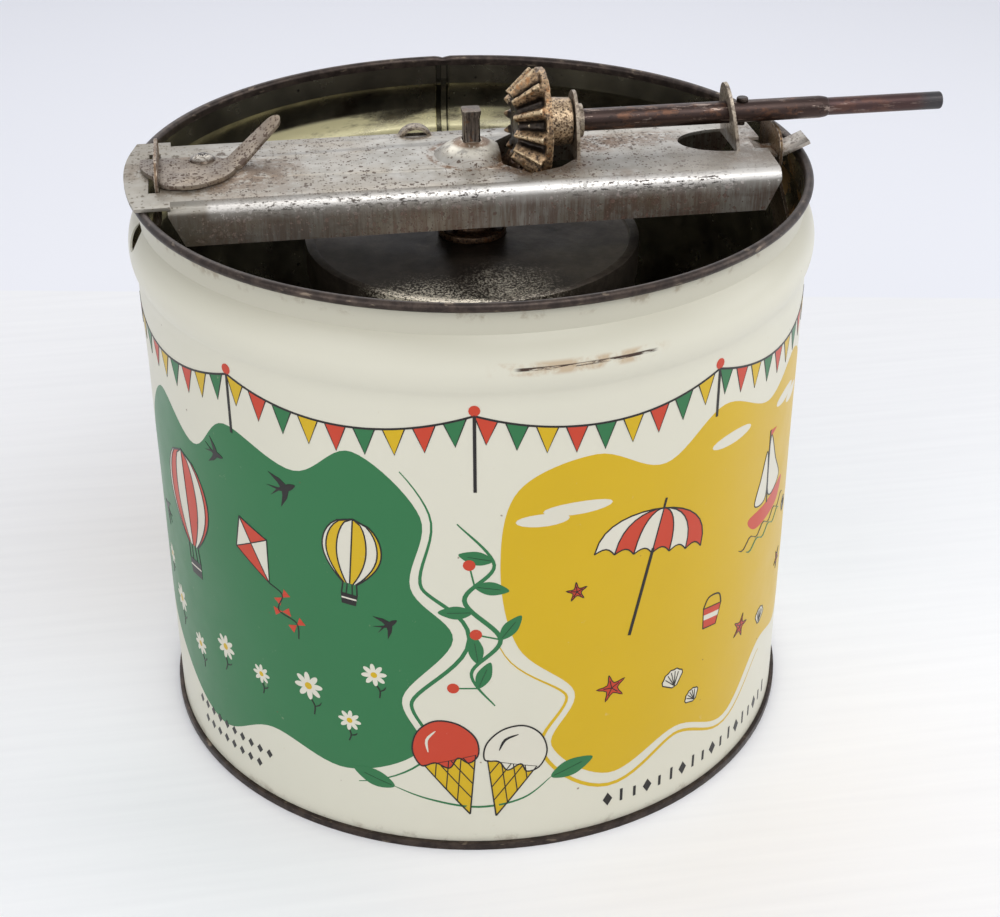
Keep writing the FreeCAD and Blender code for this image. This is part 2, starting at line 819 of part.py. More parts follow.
def cone_point(cone_angle, distance, height):
    """Radius and height of a point at a distance down the pitch cone and a height off it."""
    return (distance * math.sin(cone_angle) + height * math.cos(cone_angle),
            -distance * math.cos(cone_angle) + height * math.sin(cone_angle))


def toothed_ring(pitch_radius, teeth, cone_angle, outer, inner, blank_points):
    """A blank with teeth between two distances from the apex."""
    depth = dedendum + 2 * root_cut * module

    def corner(distance, height):
        return cone_point(cone_angle, distance, height * distance / cone_length)

    ring = turned(polygon(on_xz, [
        corner(outer, addendum),
        corner(inner, addendum),
        corner(inner, -depth),
        corner(outer, -depth),
    ]))
    tooth = tooth_blank(pitch_radius, cone_angle).common(ring)
    copies = []
    for i in range(teeth):
        copy = tooth.copy()
        copy.rotate(Vector(0, 0, 0), Vector(0, 0, 1), 360.0 * i / teeth)
        copies.append(copy)
    return joined(turned(polygon(on_xz, blank_points)), copies)


def root_point(cone_angle, distance):
    return cone_point(cone_angle, distance, -dedendum * distance / cone_length)


def pinion():
    angle = math.atan2(pitch_pinion, pitch_gear)
    inner = cone_length - pinion_face
    root_big = root_point(angle, cone_length)
    root_small = root_point(angle, inner)
    web_low = -pitch_gear - pinion_web
    hub_low = pinion_ear_gap - inner_ear_x
    points = [
        (0, root_small[1]),
        root_small,
        (pitch_gear * root_big[0] / -root_big[1], -pitch_gear),
        (pinion_web_radius, -pitch_gear),
        (pinion_web_radius, web_low),
        (pinion_hub_radius, web_low),
        (pinion_hub_radius - pinion_hub_taper, hub_low),
        (0, hub_low),
    ]
    wheel = toothed_ring(pitch_pinion, pinion_teeth, angle, cone_length, inner, points)
    # axis onto +X, apex at the crossing of the two axes, one tooth straight down
    wheel.rotate(Vector(0, 0, 0), Vector(0, 1, 0), -90)
    wheel.translate(Vector(0, 0, shaft_height))
    bore = rod_x(shaft_radius, 0, inner_ear_x, z=shaft_height)
    return wheel.cut(bore).removeSplitter()


def drive_gear():
    angle = math.atan2(pitch_gear, pitch_pinion)
    # how far out and how far down a tooth's tip lies for each millimetre along the cone
    tip_out, tip_up = cone_point(angle, 1, addendum / cone_length)
    outer = (pitch_gear - gear_disc_gap) / tip_out
    inner = (shaft_height - frame_top + frame_sheet + gear_frame_gap) / -tip_up
    root_big = root_point(angle, outer)
    root_small = root_point(angle, inner)
    web_top = root_big[1]
    web_low = web_top - gear_web
    hub_top = root_small[1] + gear_hub_rise
    flange_low = lid_height - shaft_height
    points = [
        (gear_hub_radius, hub_top),
        (gear_hub_radius, web_top),
        (root_small[0] - module / 2, web_top),
        root_small,
        root_big,
        (root_big[0], web_low),
        (gear_hub_radius, web_low),
        (gear_hub_radius, flange_low + gear_flange),
        (gear_flange_radius, flange_low + gear_flange),
        (gear_flange_radius, flange_low),
        (0, flange_low),
        (0, hub_top),
    ]
    wheel = toothed_ring(pitch_gear, gear_teeth, angle, outer, inner, points)
    # a gap between two teeth faces the pinion
    wheel.rotate(Vector(0, 0, 0), Vector(0, 0, 1), 180.0 / gear_teeth)
    wheel.translate(Vector(0, 0, shaft_height))
    wheel = wheel.cut(cylinder(stem_radius + gear_bore_gap, lid_height - gear_flange, shaft_height))
    for x, y in lid_rivet_places():
        rivet_way = cylinder(lid_rivet_radius, lid_height - gear_flange, lid_height + 2 * gear_flange, x, y)
        wheel = wheel.cut(rivet_way)
    return wheel.removeSplitter()


# ---- can and lid ----
def lid_rivet_places():
    turn = 360 / lid_rivet_count
    return [polar((0, 0), lid_rivet_circle, 90 + turn * i) for i in range(lid_rivet_count)]


def lid_rivets():
    rivets = []
    low = lid_height - lid_sheet - lid_rivet_head
    high = lid_height + gear_flange + lid_rivet_head
    for x, y in lid_rivet_places():
        shank = cylinder(lid_rivet_radius, low, high, x, y)
        top = cylinder(2 * lid_rivet_radius, high - lid_rivet_head, high, x, y)
        bottom = cylinder(2 * lid_rivet_radius, low, low + lid_rivet_head, x, y)
        rivets.append(joined(shank, [top, bottom]).removeSplitter())
    return Part.makeCompound(rivets)


def lid():
    outside = can_radius + lid_gap + lid_sheet
    hub = gear_flange_radius + lid_hub_margin
    ledge = outside - lid_rim_width
    low = lid_height - lid_sink
    bore = stem_radius + lid_bore_gap
    sheet = lid_sheet
    points = [
        (bore, lid_height),
        (hub, lid_height),
        (ledge, low),
        (ledge + sheet, lid_height),
        (outside, lid_height),
        (outside, lid_height - lid_skirt),
        (outside - sheet, lid_height - lid_skirt),
        (outside - sheet, lid_height - sheet),
        (ledge + 2 * sheet, lid_height - sheet),
        (ledge + sheet, low - sheet),
        (ledge, low - sheet),
        (hub, lid_height - sheet),
        (bore, lid_height - sheet),
    ]
    body = turned(polygon(on_xz, points))
    for x, y in lid_rivet_places():
        body = body.cut(cylinder(lid_rivet_radius, lid_height - 2 * sheet, lid_height + sheet, x, y))
    return body


def can_shell():
    wall = cylinder(can_radius, can_floor - can_foot, lid_height - lid_sheet - seat_gap)
    return wall.cut(cylinder(can_radius - can_wall, can_floor - 2 * can_foot, lid_height))


def can_bottom():
    """The can's floor: a disc whose turned-down rim closes the wall."""
    inside = can_radius - can_wall - seat_gap
    under = can_floor - can_wall
    points = [
        (socket_neck_radius, can_floor),
        (inside, can_floor),
        (inside, can_floor - can_foot),
        (inside - can_foot_width, can_floor - can_foot),
        (inside - can_foot_width, under),
        (socket_neck_radius, under),
    ]
    return turned(polygon(on_xz, points))


def can_socket():
    """The bearing in the can's floor: the tub's pivot enters it from below, the stem from above."""
    lower = cylinder(socket_radius, socket_low, can_floor - can_wall)
    neck = cylinder(socket_neck_radius, can_floor - can_wall, can_floor)
    upper = cylinder(socket_radius, can_floor, can_floor + socket_top)
    body = joined(lower, [neck, upper]).removeSplitter()
    body = body.cut(cylinder(pivot_radius + socket_gap, 0, pivot_top + socket_end_gap))
    stem_way = cylinder(stem_radius + socket_gap, stem_bottom - stem_end_gap, can_floor + 2 * socket_top)
    return body.cut(stem_way)


# ---- dasher ----
def dasher_stem():
    top = frame_top + stem_rise
    square_low = top - stem_square_length
    head = square_stem(0, square_low, top)
    shank = cylinder(stem_radius, stem_bottom, square_low)
    return shank.fuse(head).removeSplitter()


def dasher_arm(height):
    """A flat arm across the can with a hub on the stem."""
    half = arm_width / 2
    arm = box(-arm_length, arm_length, -half, half, height, height + arm_sheet)
    hub = cylinder(arm_hub_radius, height, height + arm_hub_length)
    below = height - arm_sheet
    arm = arm.fuse(hub).cut(cylinder(stem_radius, below, height + 2 * arm_hub_length))
    for side in (-1, 1):
        arm = arm.cut(cylinder(beater_radius, below, height + 2 * arm_sheet, side * beater_circle))
    return arm


def scraper(side):
    """A hardwood blade that stands on the arms' ends and lies in to the can's wall."""
    inner = arm_length + seat_gap
    outer = scraper_reach
    half = scraper_width / 2
    low = arm_low - scraper_overhang
    high = arm_high + arm_sheet + scraper_overhang
    edge = inner + scraper_inset
    face = polygon(on_xy, [(inner, -half), (outer, -half), (edge, half), (inner, half)])
    face.translate(Vector(0, 0, low))
    blade = face.extrude(Vector(0, 0, high - low))
    for height in (arm_low, arm_high):
        axis_height = height + arm_sheet / 2
        blade = blade.cut(rod_x(scraper_pin_radius, arm_length, outer + seat_gap, z=axis_height))
    if side < 0:
        blade.rotate(Vector(0, 0, 0), Vector(0, 0, 1), 180)
    return blade


def scraper_pins():
    pins = []
    for side in (-1, 1):
        for height in (arm_low, arm_high):
            end = arm_length + seat_gap + scraper_thickness * scraper_pin_share
            pin = rod_x(scraper_pin_radius, arm_length, end, z=height + arm_sheet / 2)
            if side < 0:
                pin.rotate(Vector(0, 0, 0), Vector(0, 0, 1), 180)
            pins.append(pin)
    return Part.makeCompound(pins)


def beater(side):
    return cylinder(beater_radius, arm_low, arm_high + arm_sheet, side * beater_circle)


def build():
    os.makedirs("parts", exist_ok=True)
    pieces = {
        "tub_shell": tub_shell(),
        "rim_wire": rim_wire(),
        "tub_bottom": tub_bottom(),
        "can_pivot": can_pivot(),
        "latch_ear": latch_ear(),
        "hook_ear": hook_ear(),
        "frame_channel": frame_channel(),
        "latch_rivet": latch_rivet(),
        "latch_lever": latch_lever(),
        "crank_shaft": crank_shaft(),
        "retaining_pin": retaining_pin(),
        "pinion": pinion(),
        "drive_gear": drive_gear(),
        "lid": lid(),
        "lid_rivets": lid_rivets(),
        "can_shell": can_shell(),
        "can_bottom": can_bottom(),
        "can_socket": can_socket(),
        "dasher_stem": dasher_stem(),
        "lower_arm": dasher_arm(arm_low),
        "upper_arm": dasher_arm(arm_high),
        "scraper_left": scraper(-1),
        "scraper_right": scraper(1),
        "scraper_pins": scraper_pins(),
        "beater_left": beater(-1),
        "beater_right": beater(1),
    }
    for name, shape in pieces.items():
        save(shape, name)
        solids = len(shape.Solids)
        print(name, solids, "valid" if shape.isValid() else "INVALID", round(shape.Volume, 1))


build()
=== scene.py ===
import json
import math

import bmesh
import bpy
from mathutils import Matrix, Vector, noise
from mathutils.geometry import delaunay_2d_cdt


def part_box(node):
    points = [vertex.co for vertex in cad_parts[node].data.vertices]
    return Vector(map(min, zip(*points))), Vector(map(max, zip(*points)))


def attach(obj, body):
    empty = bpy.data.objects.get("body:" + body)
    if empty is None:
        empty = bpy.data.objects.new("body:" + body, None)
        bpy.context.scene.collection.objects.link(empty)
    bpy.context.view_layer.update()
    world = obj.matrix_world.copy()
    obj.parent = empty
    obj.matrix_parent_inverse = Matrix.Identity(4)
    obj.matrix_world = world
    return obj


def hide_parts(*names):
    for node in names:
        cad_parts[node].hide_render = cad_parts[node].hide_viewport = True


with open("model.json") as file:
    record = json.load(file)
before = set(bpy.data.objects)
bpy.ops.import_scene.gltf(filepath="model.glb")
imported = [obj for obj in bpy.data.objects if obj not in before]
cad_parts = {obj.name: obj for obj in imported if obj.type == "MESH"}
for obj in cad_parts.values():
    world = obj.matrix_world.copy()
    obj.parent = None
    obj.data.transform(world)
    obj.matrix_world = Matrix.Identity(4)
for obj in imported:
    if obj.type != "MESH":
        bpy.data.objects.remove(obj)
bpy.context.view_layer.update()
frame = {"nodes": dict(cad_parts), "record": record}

# A hand crank ice cream freezer. Sizes are millimetres in the row frame, unless a name says otherwise.
MM = 0.001
nodes = frame["nodes"]
bodies = {name: body for body, names in frame["record"]["behaviour"]["bodies"].items() for name in names}


def low(name, axis):
    """The low side of a solid's box along an axis, in millimetres."""
    return getattr(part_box(name)[0], axis) / MM


def high(name, axis):
    return getattr(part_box(name)[1], axis) / MM


# ---- camera: it turns round the tub, then pans, tilts and rolls ----
CAMERA_TURN = -7.8
CAMERA_DISTANCE = 760.1
CAMERA_ELEVATION = 36.275
CAMERA_PAN = 0.807
CAMERA_TILT = 5.973
CAMERA_ROLL = -0.734
CAMERA_LENS = 64.8
CAMERA_SENSOR = 36.0

# ---- table: its far edge, where x * slope + y passes a distance ----
TABLE_HALF = 4000
TABLE_EDGE = 354.2
TABLE_EDGE_SLOPE = 0.1805

# ---- tub wall, as its solid ----
FOOT_WIDTH = 1.7
TUB_RADIUS = high("tub_bottom", "x") - FOOT_WIDTH
RIM_TOP = high("tub_shell", "z")
WALL_FOOT = low("tub_shell", "z")
WALL = 0.7
BEAD_DEPTH = 2.2
BEAD_LOW = 184.6
BEAD_MIDDLE = 195.0
BEAD_HIGH = 205.0
NECK_RADIUS = TUB_RADIUS - 2.1
CURL_HOLE = 0.9
CURL_RADIUS = CURL_HOLE + WALL
CURL_END = -75.0
SEAM_ANGLE = 87.7
SEAM_WIDTH = 6.5
SEAM_DEPTH = 0.8
SEAM_FOOT = 6
SEAM_PAST_BEAD = 8
DRAIN_ANGLE = 188.0
DRAIN_HEIGHT = 201.5
DRAIN_RADIUS = 5.0

# ---- places on the frame ----
STEM_TOP = high("dasher_stem", "z")
BURR = 3.0                              # the length of the stem's spread top
FRAME_TOP = low("latch_lever", "z")
FRAME_HALF = high("frame_channel", "y")
SHAFT_HEIGHT = (low("crank_shaft", "z") + high("crank_shaft", "z")) / 2
SHAFT_END = high("crank_shaft", "x")
SHAFT_RADIUS = 4.0
THIN_RADIUS = 3.2
SHOULDER = SHAFT_END - 43.1
PINION_HUB = high("pinion", "x") - 9.0     # where the hub meets the toothed disc
PINION_CONE = math.atan2(12, 16)        # the teeth of the pinion and of the gear
CAN_TOP = high("lid", "z")
RIVET = (-95.3, 5.5, FRAME_TOP + 4.0)
LOOP = (-17.5, 25.6, FRAME_TOP + 1)
DOME_RADIUS = 14.0

# ---- print ----
FRONT_ANGLE = -90.0 + CAMERA_TURN       # the angle round the tub that faces the camera
PANEL = math.pi * TUB_RADIUS            # the print repeats twice round the tub
SKIN = 0.035                            # thickness of one layer of ink
SUNK = -0.1                             # how deep a sheet of ink goes into the wall
INK_STEP = 4.0                          # longest straight piece of an ink shape


# ---- helpers ----
def linear(value):
    value /= 255
    return value / 12.92 if value <= 0.04045 else ((value + 0.055) / 1.055) ** 2.4


def rgb(red, green, blue):
    return (linear(red), linear(green), linear(blue), 1.0)


def shaded(colour, share):
    return tuple(c * share for c in colour[:3]) + (1.0,)


def polar(centre, radius, degrees):
    angle = math.radians(degrees)
    return (centre[0] + radius * math.cos(angle), centre[1] + radius * math.sin(angle))


def arc(centre, radius, start, end, steps):
    return [polar(centre, radius, start + (end - start) * i / steps) for i in range(steps + 1)]


def loft(rings, count, closed=False, flip=False):
    """Faces round a stack of rings of count points each, closed on itself or with two end faces.
    Where the points run the other way round, flip keeps the faces looking out."""
    faces = []
    if not closed:
        ends = [list(range(count)), list(range((rings - 1) * count, rings * count))]
        ends[flip].reverse()
        faces = [tuple(end) for end in ends]
    for i in range(rings if closed else rings - 1):
        here, there = i * count, (i + 1) % rings * count
        for j in range(count):
            a, b = ((j + 1) % count, j) if flip else (j, (j + 1) % count)
            faces.append((here + a, here + b, there + b, there + a))
    return faces


def place_piece(name, mesh):
    piece = bpy.data.objects.new(name, mesh)
    bpy.context.scene.collection.objects.link(piece)
    return piece


def smooth(mesh, sharp=None):
    """Smooth shading, broken at edges over sharp degrees."""
    mesh.polygons.foreach_set("use_smooth", [True] * len(mesh.polygons))
    if sharp:
        mesh.set_sharp_from_angle(angle=math.radians(sharp))


def mesh_piece(name, points, faces, material, sharp=30.0):
    """A smooth-shaded mesh from points in millimetres."""
    mesh = bpy.data.meshes.new(name)
    mesh.from_pydata([Vector(p) * MM for p in points], [], faces)
    smooth(mesh, sharp)
    mesh.materials.append(material)
    mesh.update()
    return place_piece(name, mesh)


# ---- materials ----
class Tree:
    """Short calls that add shader nodes to a material or a world."""

    def __init__(self, owner, shader):
        owner.use_nodes = True
        self.tree = owner.node_tree
        self.shader = self.tree.nodes[shader]

    def feed(self, socket, value):
        if isinstance(socket, str):
            socket = self.shader.inputs[socket]
        if isinstance(value, bpy.types.NodeSocket):
            self.tree.links.new(value, socket)
        else:
            socket.default_value = value

    def node(self, kind, inputs=None, **settings):
        made = self.tree.nodes.new(kind)
        for name, value in settings.items():
            setattr(made, name, value)
        for key, value in (inputs or {}).items():
            self.feed(made.inputs[key], value)
        return made

    def step(self, value, low, high):
        """0 below low, 1 above high, smooth between."""
        made = self.node("ShaderNodeMapRange", {0: value, 1: low, 2: high}, interpolation_type="SMOOTHSTEP")
        return made.outputs["Result"]

    def between(self, value, low, high):
        """A plain share of the way from low to high."""
        return self.node("ShaderNodeMapRange", {0: value, 3: low, 4: high}).outputs["Result"]

    def math(self, kind, first, second=0.0):
        return self.node("ShaderNodeMath", {0: first, 1: second}, operation=kind).outputs[0]

    def minus(self, first, second):
        return self.math("SUBTRACT", first, second)

    def plus(self, first, second):
        return self.math("ADD", first, second)

    def either(self, first, second):
        return self.math("MAXIMUM", first, second)

    def times(self, *factors):
        """The product, from the left."""
        result = factors[0]
        for factor in factors[1:]:
            result = self.math("MULTIPLY", result, factor)
        return result

    def mix(self, share, *colours):
        """Between two colours, each a socket, a linear colour or a triple from 0 to 255."""
        first, second = [rgb(*c) if isinstance(c, tuple) and len(c) == 3 else c for c in colours]
        return self.node("ShaderNodeMix", {0: share, 6: first, 7: second}, data_type="RGBA").outputs[2]


class Surface(Tree):
    """A material in the making. Its tone is the colour so far, which lay() covers in places."""

    def __init__(self, name, metallic=0.0):
        self.material = bpy.data.materials.new(name)
        super().__init__(self.material, "Principled BSDF")
        self.feed("Metallic", metallic)
        self.place = self.node("ShaderNodeTexCoord").outputs["Object"]

    def placed(self, shift, stretch=(1, 1, 1)):
        """The place in a texture, shifted, and stretched along the axes."""
        made = self.node("ShaderNodeMapping", {"Vector": self.place, "Scale": [1 / s for s in stretch],
                                               "Location": (shift, shift, shift)})
        return made.outputs["Vector"]

    def noise(self, size, detail=4.0, rough=0.55, shift=0.0, stretch=(1, 1, 1)):
        """Noise whose blotches are about size millimetres."""
        made = self.node("ShaderNodeTexNoise", {"Vector": self.placed(shift, stretch), "Scale": 1 / (size * MM),
                                                "Detail": detail, "Roughness": rough})
        return made.outputs["Fac"]

    def blots(self, low, high, *noise, **more):
        """Blotches of noise: 0 where it is under low, 1 where it is over high."""
        return self.step(self.noise(*noise, **more), low, high)

    def dots(self, spacing, size, share, where=1.0, shift=0.0):
        """Crisp ragged specks, up to size millimetres across, in a share of the cells of a loose grid."""
        cell = self.node("ShaderNodeTexVoronoi", {"Vector": self.placed(shift), "Scale": 1 / (spacing * MM)})
        chance = self.node("ShaderNodeSeparateColor", {0: cell.outputs["Color"]}).outputs
        reach = self.times(self.between(chance[1], 0.35, 1.0), size / 2 / spacing)
        ragged = self.times(self.between(self.noise(size * 0.6, 3), -0.5, 0.42), size / spacing)
        gap = self.plus(cell.outputs["Distance"], ragged)
        hit = self.step(self.minus(reach, gap), 0.0, 0.05)
        chosen = self.math("GREATER_THAN", chance[0], self.minus(1.0, self.times(where, share)))
        return self.times(hit, chosen)

    def lay(self, *shares_and_colour):
        """Covers the tone with a colour, in the product of the shares."""
        *shares, colour = shares_and_colour
        self.tone = self.mix(self.times(*shares), self.tone, colour)

    def axis(self, letter):
        """A coordinate in metres."""
        return self.node("ShaderNodeSeparateXYZ", {0: self.place}).outputs[letter]

    def past(self, letter, low, high):
        """0 below low, 1 above high along an axis, or the other way round where low is above high."""
        return self.step(self.axis(letter), low * MM, high * MM)

    def band(self, letter, low, high, soft):
        """1 between two heights along an axis, 0 outside them."""
        value = self.axis(letter)
        rise = self.step(value, (low - soft) * MM, low * MM)
        return self.times(rise, self.step(value, (high + soft) * MM, high * MM))

    def distance(self, first, second):
        return self.node("ShaderNodeVectorMath", {0: first, 1: second}, operation="DISTANCE").outputs["Value"]

    def near(self, point, inside, outside):
        """1 within inside millimetres of a point, 0 past outside."""
        return self.step(self.distance(self.place, Vector(point) * MM), outside * MM, inside * MM)

    def ring(self, radius, width):
        """1 on a ring round the can's axis, 0 away from it."""
        flat = self.node("ShaderNodeVectorMath", {0: self.place, 1: (1, 1, 0)}, operation="MULTIPLY")
        gap = self.distance(flat.outputs[0], (0, 0, 0))
        off = self.math("ABSOLUTE", self.minus(gap, radius * MM))
        return self.step(off, width * MM, width * 0.3 * MM)

    def pinion_depth(self):
        """How far a point lies out of the pinion's pitch cone, as a share of its distance from the apex."""
        x, y = self.axis("X"), self.axis("Y")
        z = self.minus(self.axis("Z"), SHAFT_HEIGHT * MM)
        radius = self.math("SQRT", self.plus(self.times(y, y), self.times(z, z)))
        cosine, sine = math.cos(PINION_CONE), math.sin(PINION_CONE)
        rise = self.minus(self.times(radius, cosine), self.times(x, sine))
        along = self.plus(self.times(x, cosine), self.times(radius, sine))
        return self.math("DIVIDE", rise, along)

    def pointiness(self, low, high):
        """1 along the outer edges of a fine mesh, or in its hollows where low is above high."""
        return self.step(self.node("ShaderNodeNewGeometry").outputs["Pointiness"], low, high)

    def bump(self, height, depth):
        """Relief of depth millimetres, on top of any relief so far."""
        before = self.shader.inputs["Normal"].links
        made = self.node("ShaderNodeBump", {"Height": height, "Distance": depth * MM, "Strength": 1.0})
        if before:
            self.tree.links.new(before[0].from_socket, made.inputs["Normal"])
        self.feed("Normal", made.outputs["Normal"])

    def finish(self, roughness=None, *reliefs):
        """Feeds the tone, a roughness and reliefs (height, depth) to the shader."""
        self.feed("Base Color", self.tone)
        if roughness is not None:
            self.feed("Roughness", roughness)
        for height, depth in reliefs:
            self.bump(height, depth)
        return self.material


RUST = (104, 64, 38)
DARK_RUST = (58, 40, 30)


def ink_surface(name, colour, shade=0.92):
    """Printed and varnished tinplate: a little mottled, specked and rubbed."""
    s = Surface(name)
    colour = rgb(*colour)
    s.tone = s.mix(s.noise(38, 3), shaded(colour, shade), colour)
    soiled = s.blots(0.42, 0.62, 30, 2, shift=3)
    s.lay(s.dots(7, 1.1, 0.5, soiled), 0.75, RUST)
    s.lay(s.blots(0.66, 0.72, 7, 6, 0.7, 7), 0.25, (196, 186, 160))
    scratch = s.blots(0.80, 0.82, 0.5, 1, 0.5, 21, (60, 60, 1.5))
    s.lay(scratch, s.blots(0.60, 0.64, 45, 2, shift=17), 0.5, (222, 218, 204))
    s.feed("Specular IOR Level", 0.3)
    s.feed("Coat Weight", 0.08)
    s.feed("Coat Roughness", 0.2)
    s.finish(s.between(s.noise(14, 4, shift=11), 0.26, 0.44), (s.noise(55, 2, shift=5), 0.35),
             (s.noise(2.0, 3, shift=9), 0.01))
    return s


def wall_surface():
    """The cream ground of the print, with a rust line where the bead's crest has been knocked."""
    s = ink_surface("cream_tinplate", (214, 211, 194), 0.96)
    front = s.past("Y", -60, -90)
    glow = s.times(s.band("Z", 193.2, 196.0, 1.6), s.blots(0.44, 0.62, 10, 5, 0.65, 2))
    glow = s.times(glow, s.times(s.band("X", -6, 40, 8), front))
    s.lay(glow, 0.6, (176, 140, 96))
    line = s.times(s.band("Z", 194.3, 195.1, 0.3), s.blots(0.42, 0.48, 12, 5, 0.7, 2, (1.4, 1, 0.15)))
    s.lay(line, s.times(s.band("X", -2, 40, 3), front), DARK_RUST)
    # painted shade: the wall is darkened evenly from the bead's middle up to the rim, against the light that falls
    # on the neck from above
    s.lay(s.past("Z", 194, 206), 0.55, (168, 164, 146))
    s.lay(s.band("Z", 211, 215, 2.5), s.blots(0.52, 0.66, 8, 5, 0.68, 4), 0.5, (132, 112, 86))
    s.lay(s.band("Z", 0, 4, 3.0), s.blots(0.50, 0.70, 7, 5, 0.65, 14), 0.45, (126, 108, 84))
    return s.finish()


def rim_surface(name):
    """Bare tinplate at the rim and the foot, gone dark, with rubbed spots."""
    s = Surface(name, 0.7)
    s.tone = s.mix(s.blots(0.38, 0.66, 5, 5, 0.7), (46, 38, 34), (72, 61, 54))
    s.lay(s.blots(0.62, 0.70, 1.6, 3, 0.5, 2, (4, 4, 1)), 0.6, (130, 116, 100))
    return s.finish(s.between(s.noise(4, 4, shift=3), 0.28, 0.52), (s.noise(1.6, 4), 0.04))


def inside_surface(name, shade=1.0):
    """The tub's inside: tinplate with a brown and gold bloom, a painted highlight along its bead at the back and a
    painted golden pool of light at the right.
    """
    s = Surface(name)
    dark, pale = [shaded(rgb(*tone), shade) for tone in ((104, 98, 86), (194, 187, 160))]
    s.tone = s.mix(s.blots(0.30, 0.66, 26, 5, 0.6), dark, pale)
    s.lay(s.blots(0.52, 0.68, 34, 5, 0.65, 6), 0.75, (84, 66, 46))
    s.lay(s.past("Z", 202, 207), 0.6, (126, 121, 110))
    s.lay(s.past("Z", 120, 30), 0.7, (70, 58, 46))
    s.lay(s.dots(5, 1.6, 0.5, s.blots(0.40, 0.60, 30, 3, shift=3)), (50, 40, 32))
    # painted highlight: a gold-white band along the inside of the bead at the back, where it catches the light
    bead = s.times(s.band("Z", BEAD_LOW - 3, BEAD_MIDDLE - 3, 2.0), s.past("X", 60, 10), s.past("Y", 20, 60))
    bright = s.times(bead, s.blots(0.36, 0.56, 14, 5, 0.7, 12, (3, 3, 0.8)), 0.9 * shade)
    s.lay(bright, (238, 230, 182))
    # painted pool of light: a blotched golden patch on the inside wall at the right
    golden = s.times(s.near((119, 3, 194), 10, 26), s.blots(0.47, 0.52, 9, 5, 0.65, 9), 0.8 * shade)
    s.lay(golden, (214, 166, 104))
    # less metallic where the painted highlight and the painted pool of light lie, so their colour shows
    s.feed("Metallic", s.between(s.either(bright, golden), 0.95, 0.2))
    return s.finish(s.between(s.noise(10, 5, shift=8), 0.14, 0.36), (s.noise(30, 2, shift=2), 0.3))


def zinc_surface(name, pale, dark, soil=0.3, crowd=0.3, stains=()):
    """Galvanised sheet: brown specks and film, and stains at places (point, radius, strength)."""
    s = Surface(name)
    s.tone = s.mix(s.blots(0.34, 0.66, 8, 5, 0.62), dark, pale)
    film = s.blots(0.38, 0.64, 28, 4, 0.6, 1)
    s.lay(film, soil, (142, 122, 92))
    s.lay(s.blots(0.62, 0.72, 0.7, 2, 0.5, 7, (34, 1, 6)), 0.5, (112, 100, 90))
    crowded = s.between(film, crowd, 1.0)
    for point, radius, strength in stains:
        patch = s.times(s.near(point, radius * 0.7, radius * 1.5), s.blots(0.40, 0.55, 4, 6, 0.76, 5))
        s.lay(patch, strength, (106, 77, 45))
        crowded = s.either(crowded, s.times(s.near(point, radius * 0.6, radius * 1.4), 1.5 * strength))
    specks = s.dots(0.9, 0.95, 0.42, crowded)
    specks = s.either(specks, s.dots(2.0, 1.7, 0.35, crowded, 0.3))
    specks = s.either(specks, s.dots(8, 4.0, 0.25, crowded, 0.6))
    grit = s.times(s.blots(0.63, 0.69, 0.8, 4, 0.75, 19, (1.6, 1, 1)), crowded)
    specks = s.either(specks, grit)
    s.lay(specks, 0.85, (72, 52, 40))
    s.feed("Metallic", s.between(specks, 0.62, 0.15))
    roughness = s.either(s.between(s.noise(6, 4, shift=13), 0.30, 0.52), s.times(specks, 0.8))
    s.finish(roughness, (s.noise(24, 3, shift=7), 0.4),
             (s.minus(s.noise(1.4, 4, shift=9), specks), 0.03))
    return s


# stains on the frame: place (along, across, above its top), radius, strength
FRAME_STAINS = [
    ((-104, -14, 0), 9, 0.8), ((-94, -12, 0), 10, 0.85), ((-84, -8, 0), 11, 0.8), ((-74, -4, 0), 12, 0.7),
    ((-78, -22, 0), 16, 0.35), ((-116, 2, 0), 9, 0.8), ((17, -11, 0), 11, 0.9), ((30, -15, 0), 9, 0.6),
    ((46, 4, 0), 8, 0.85), ((56, 5, 0), 7, 0.85), ((66, 6, 0), 7, 0.75), ((75, 7, 0), 6, 0.6),
    ((98, -10, 0), 12, 0.8), ((106, 4, 0), 13, 0.9), ((118, -5, 4), 10, 0.6), ((-96, -30, -14), 8, 0.5),
    ((52, -30, -8), 10, 0.5)]


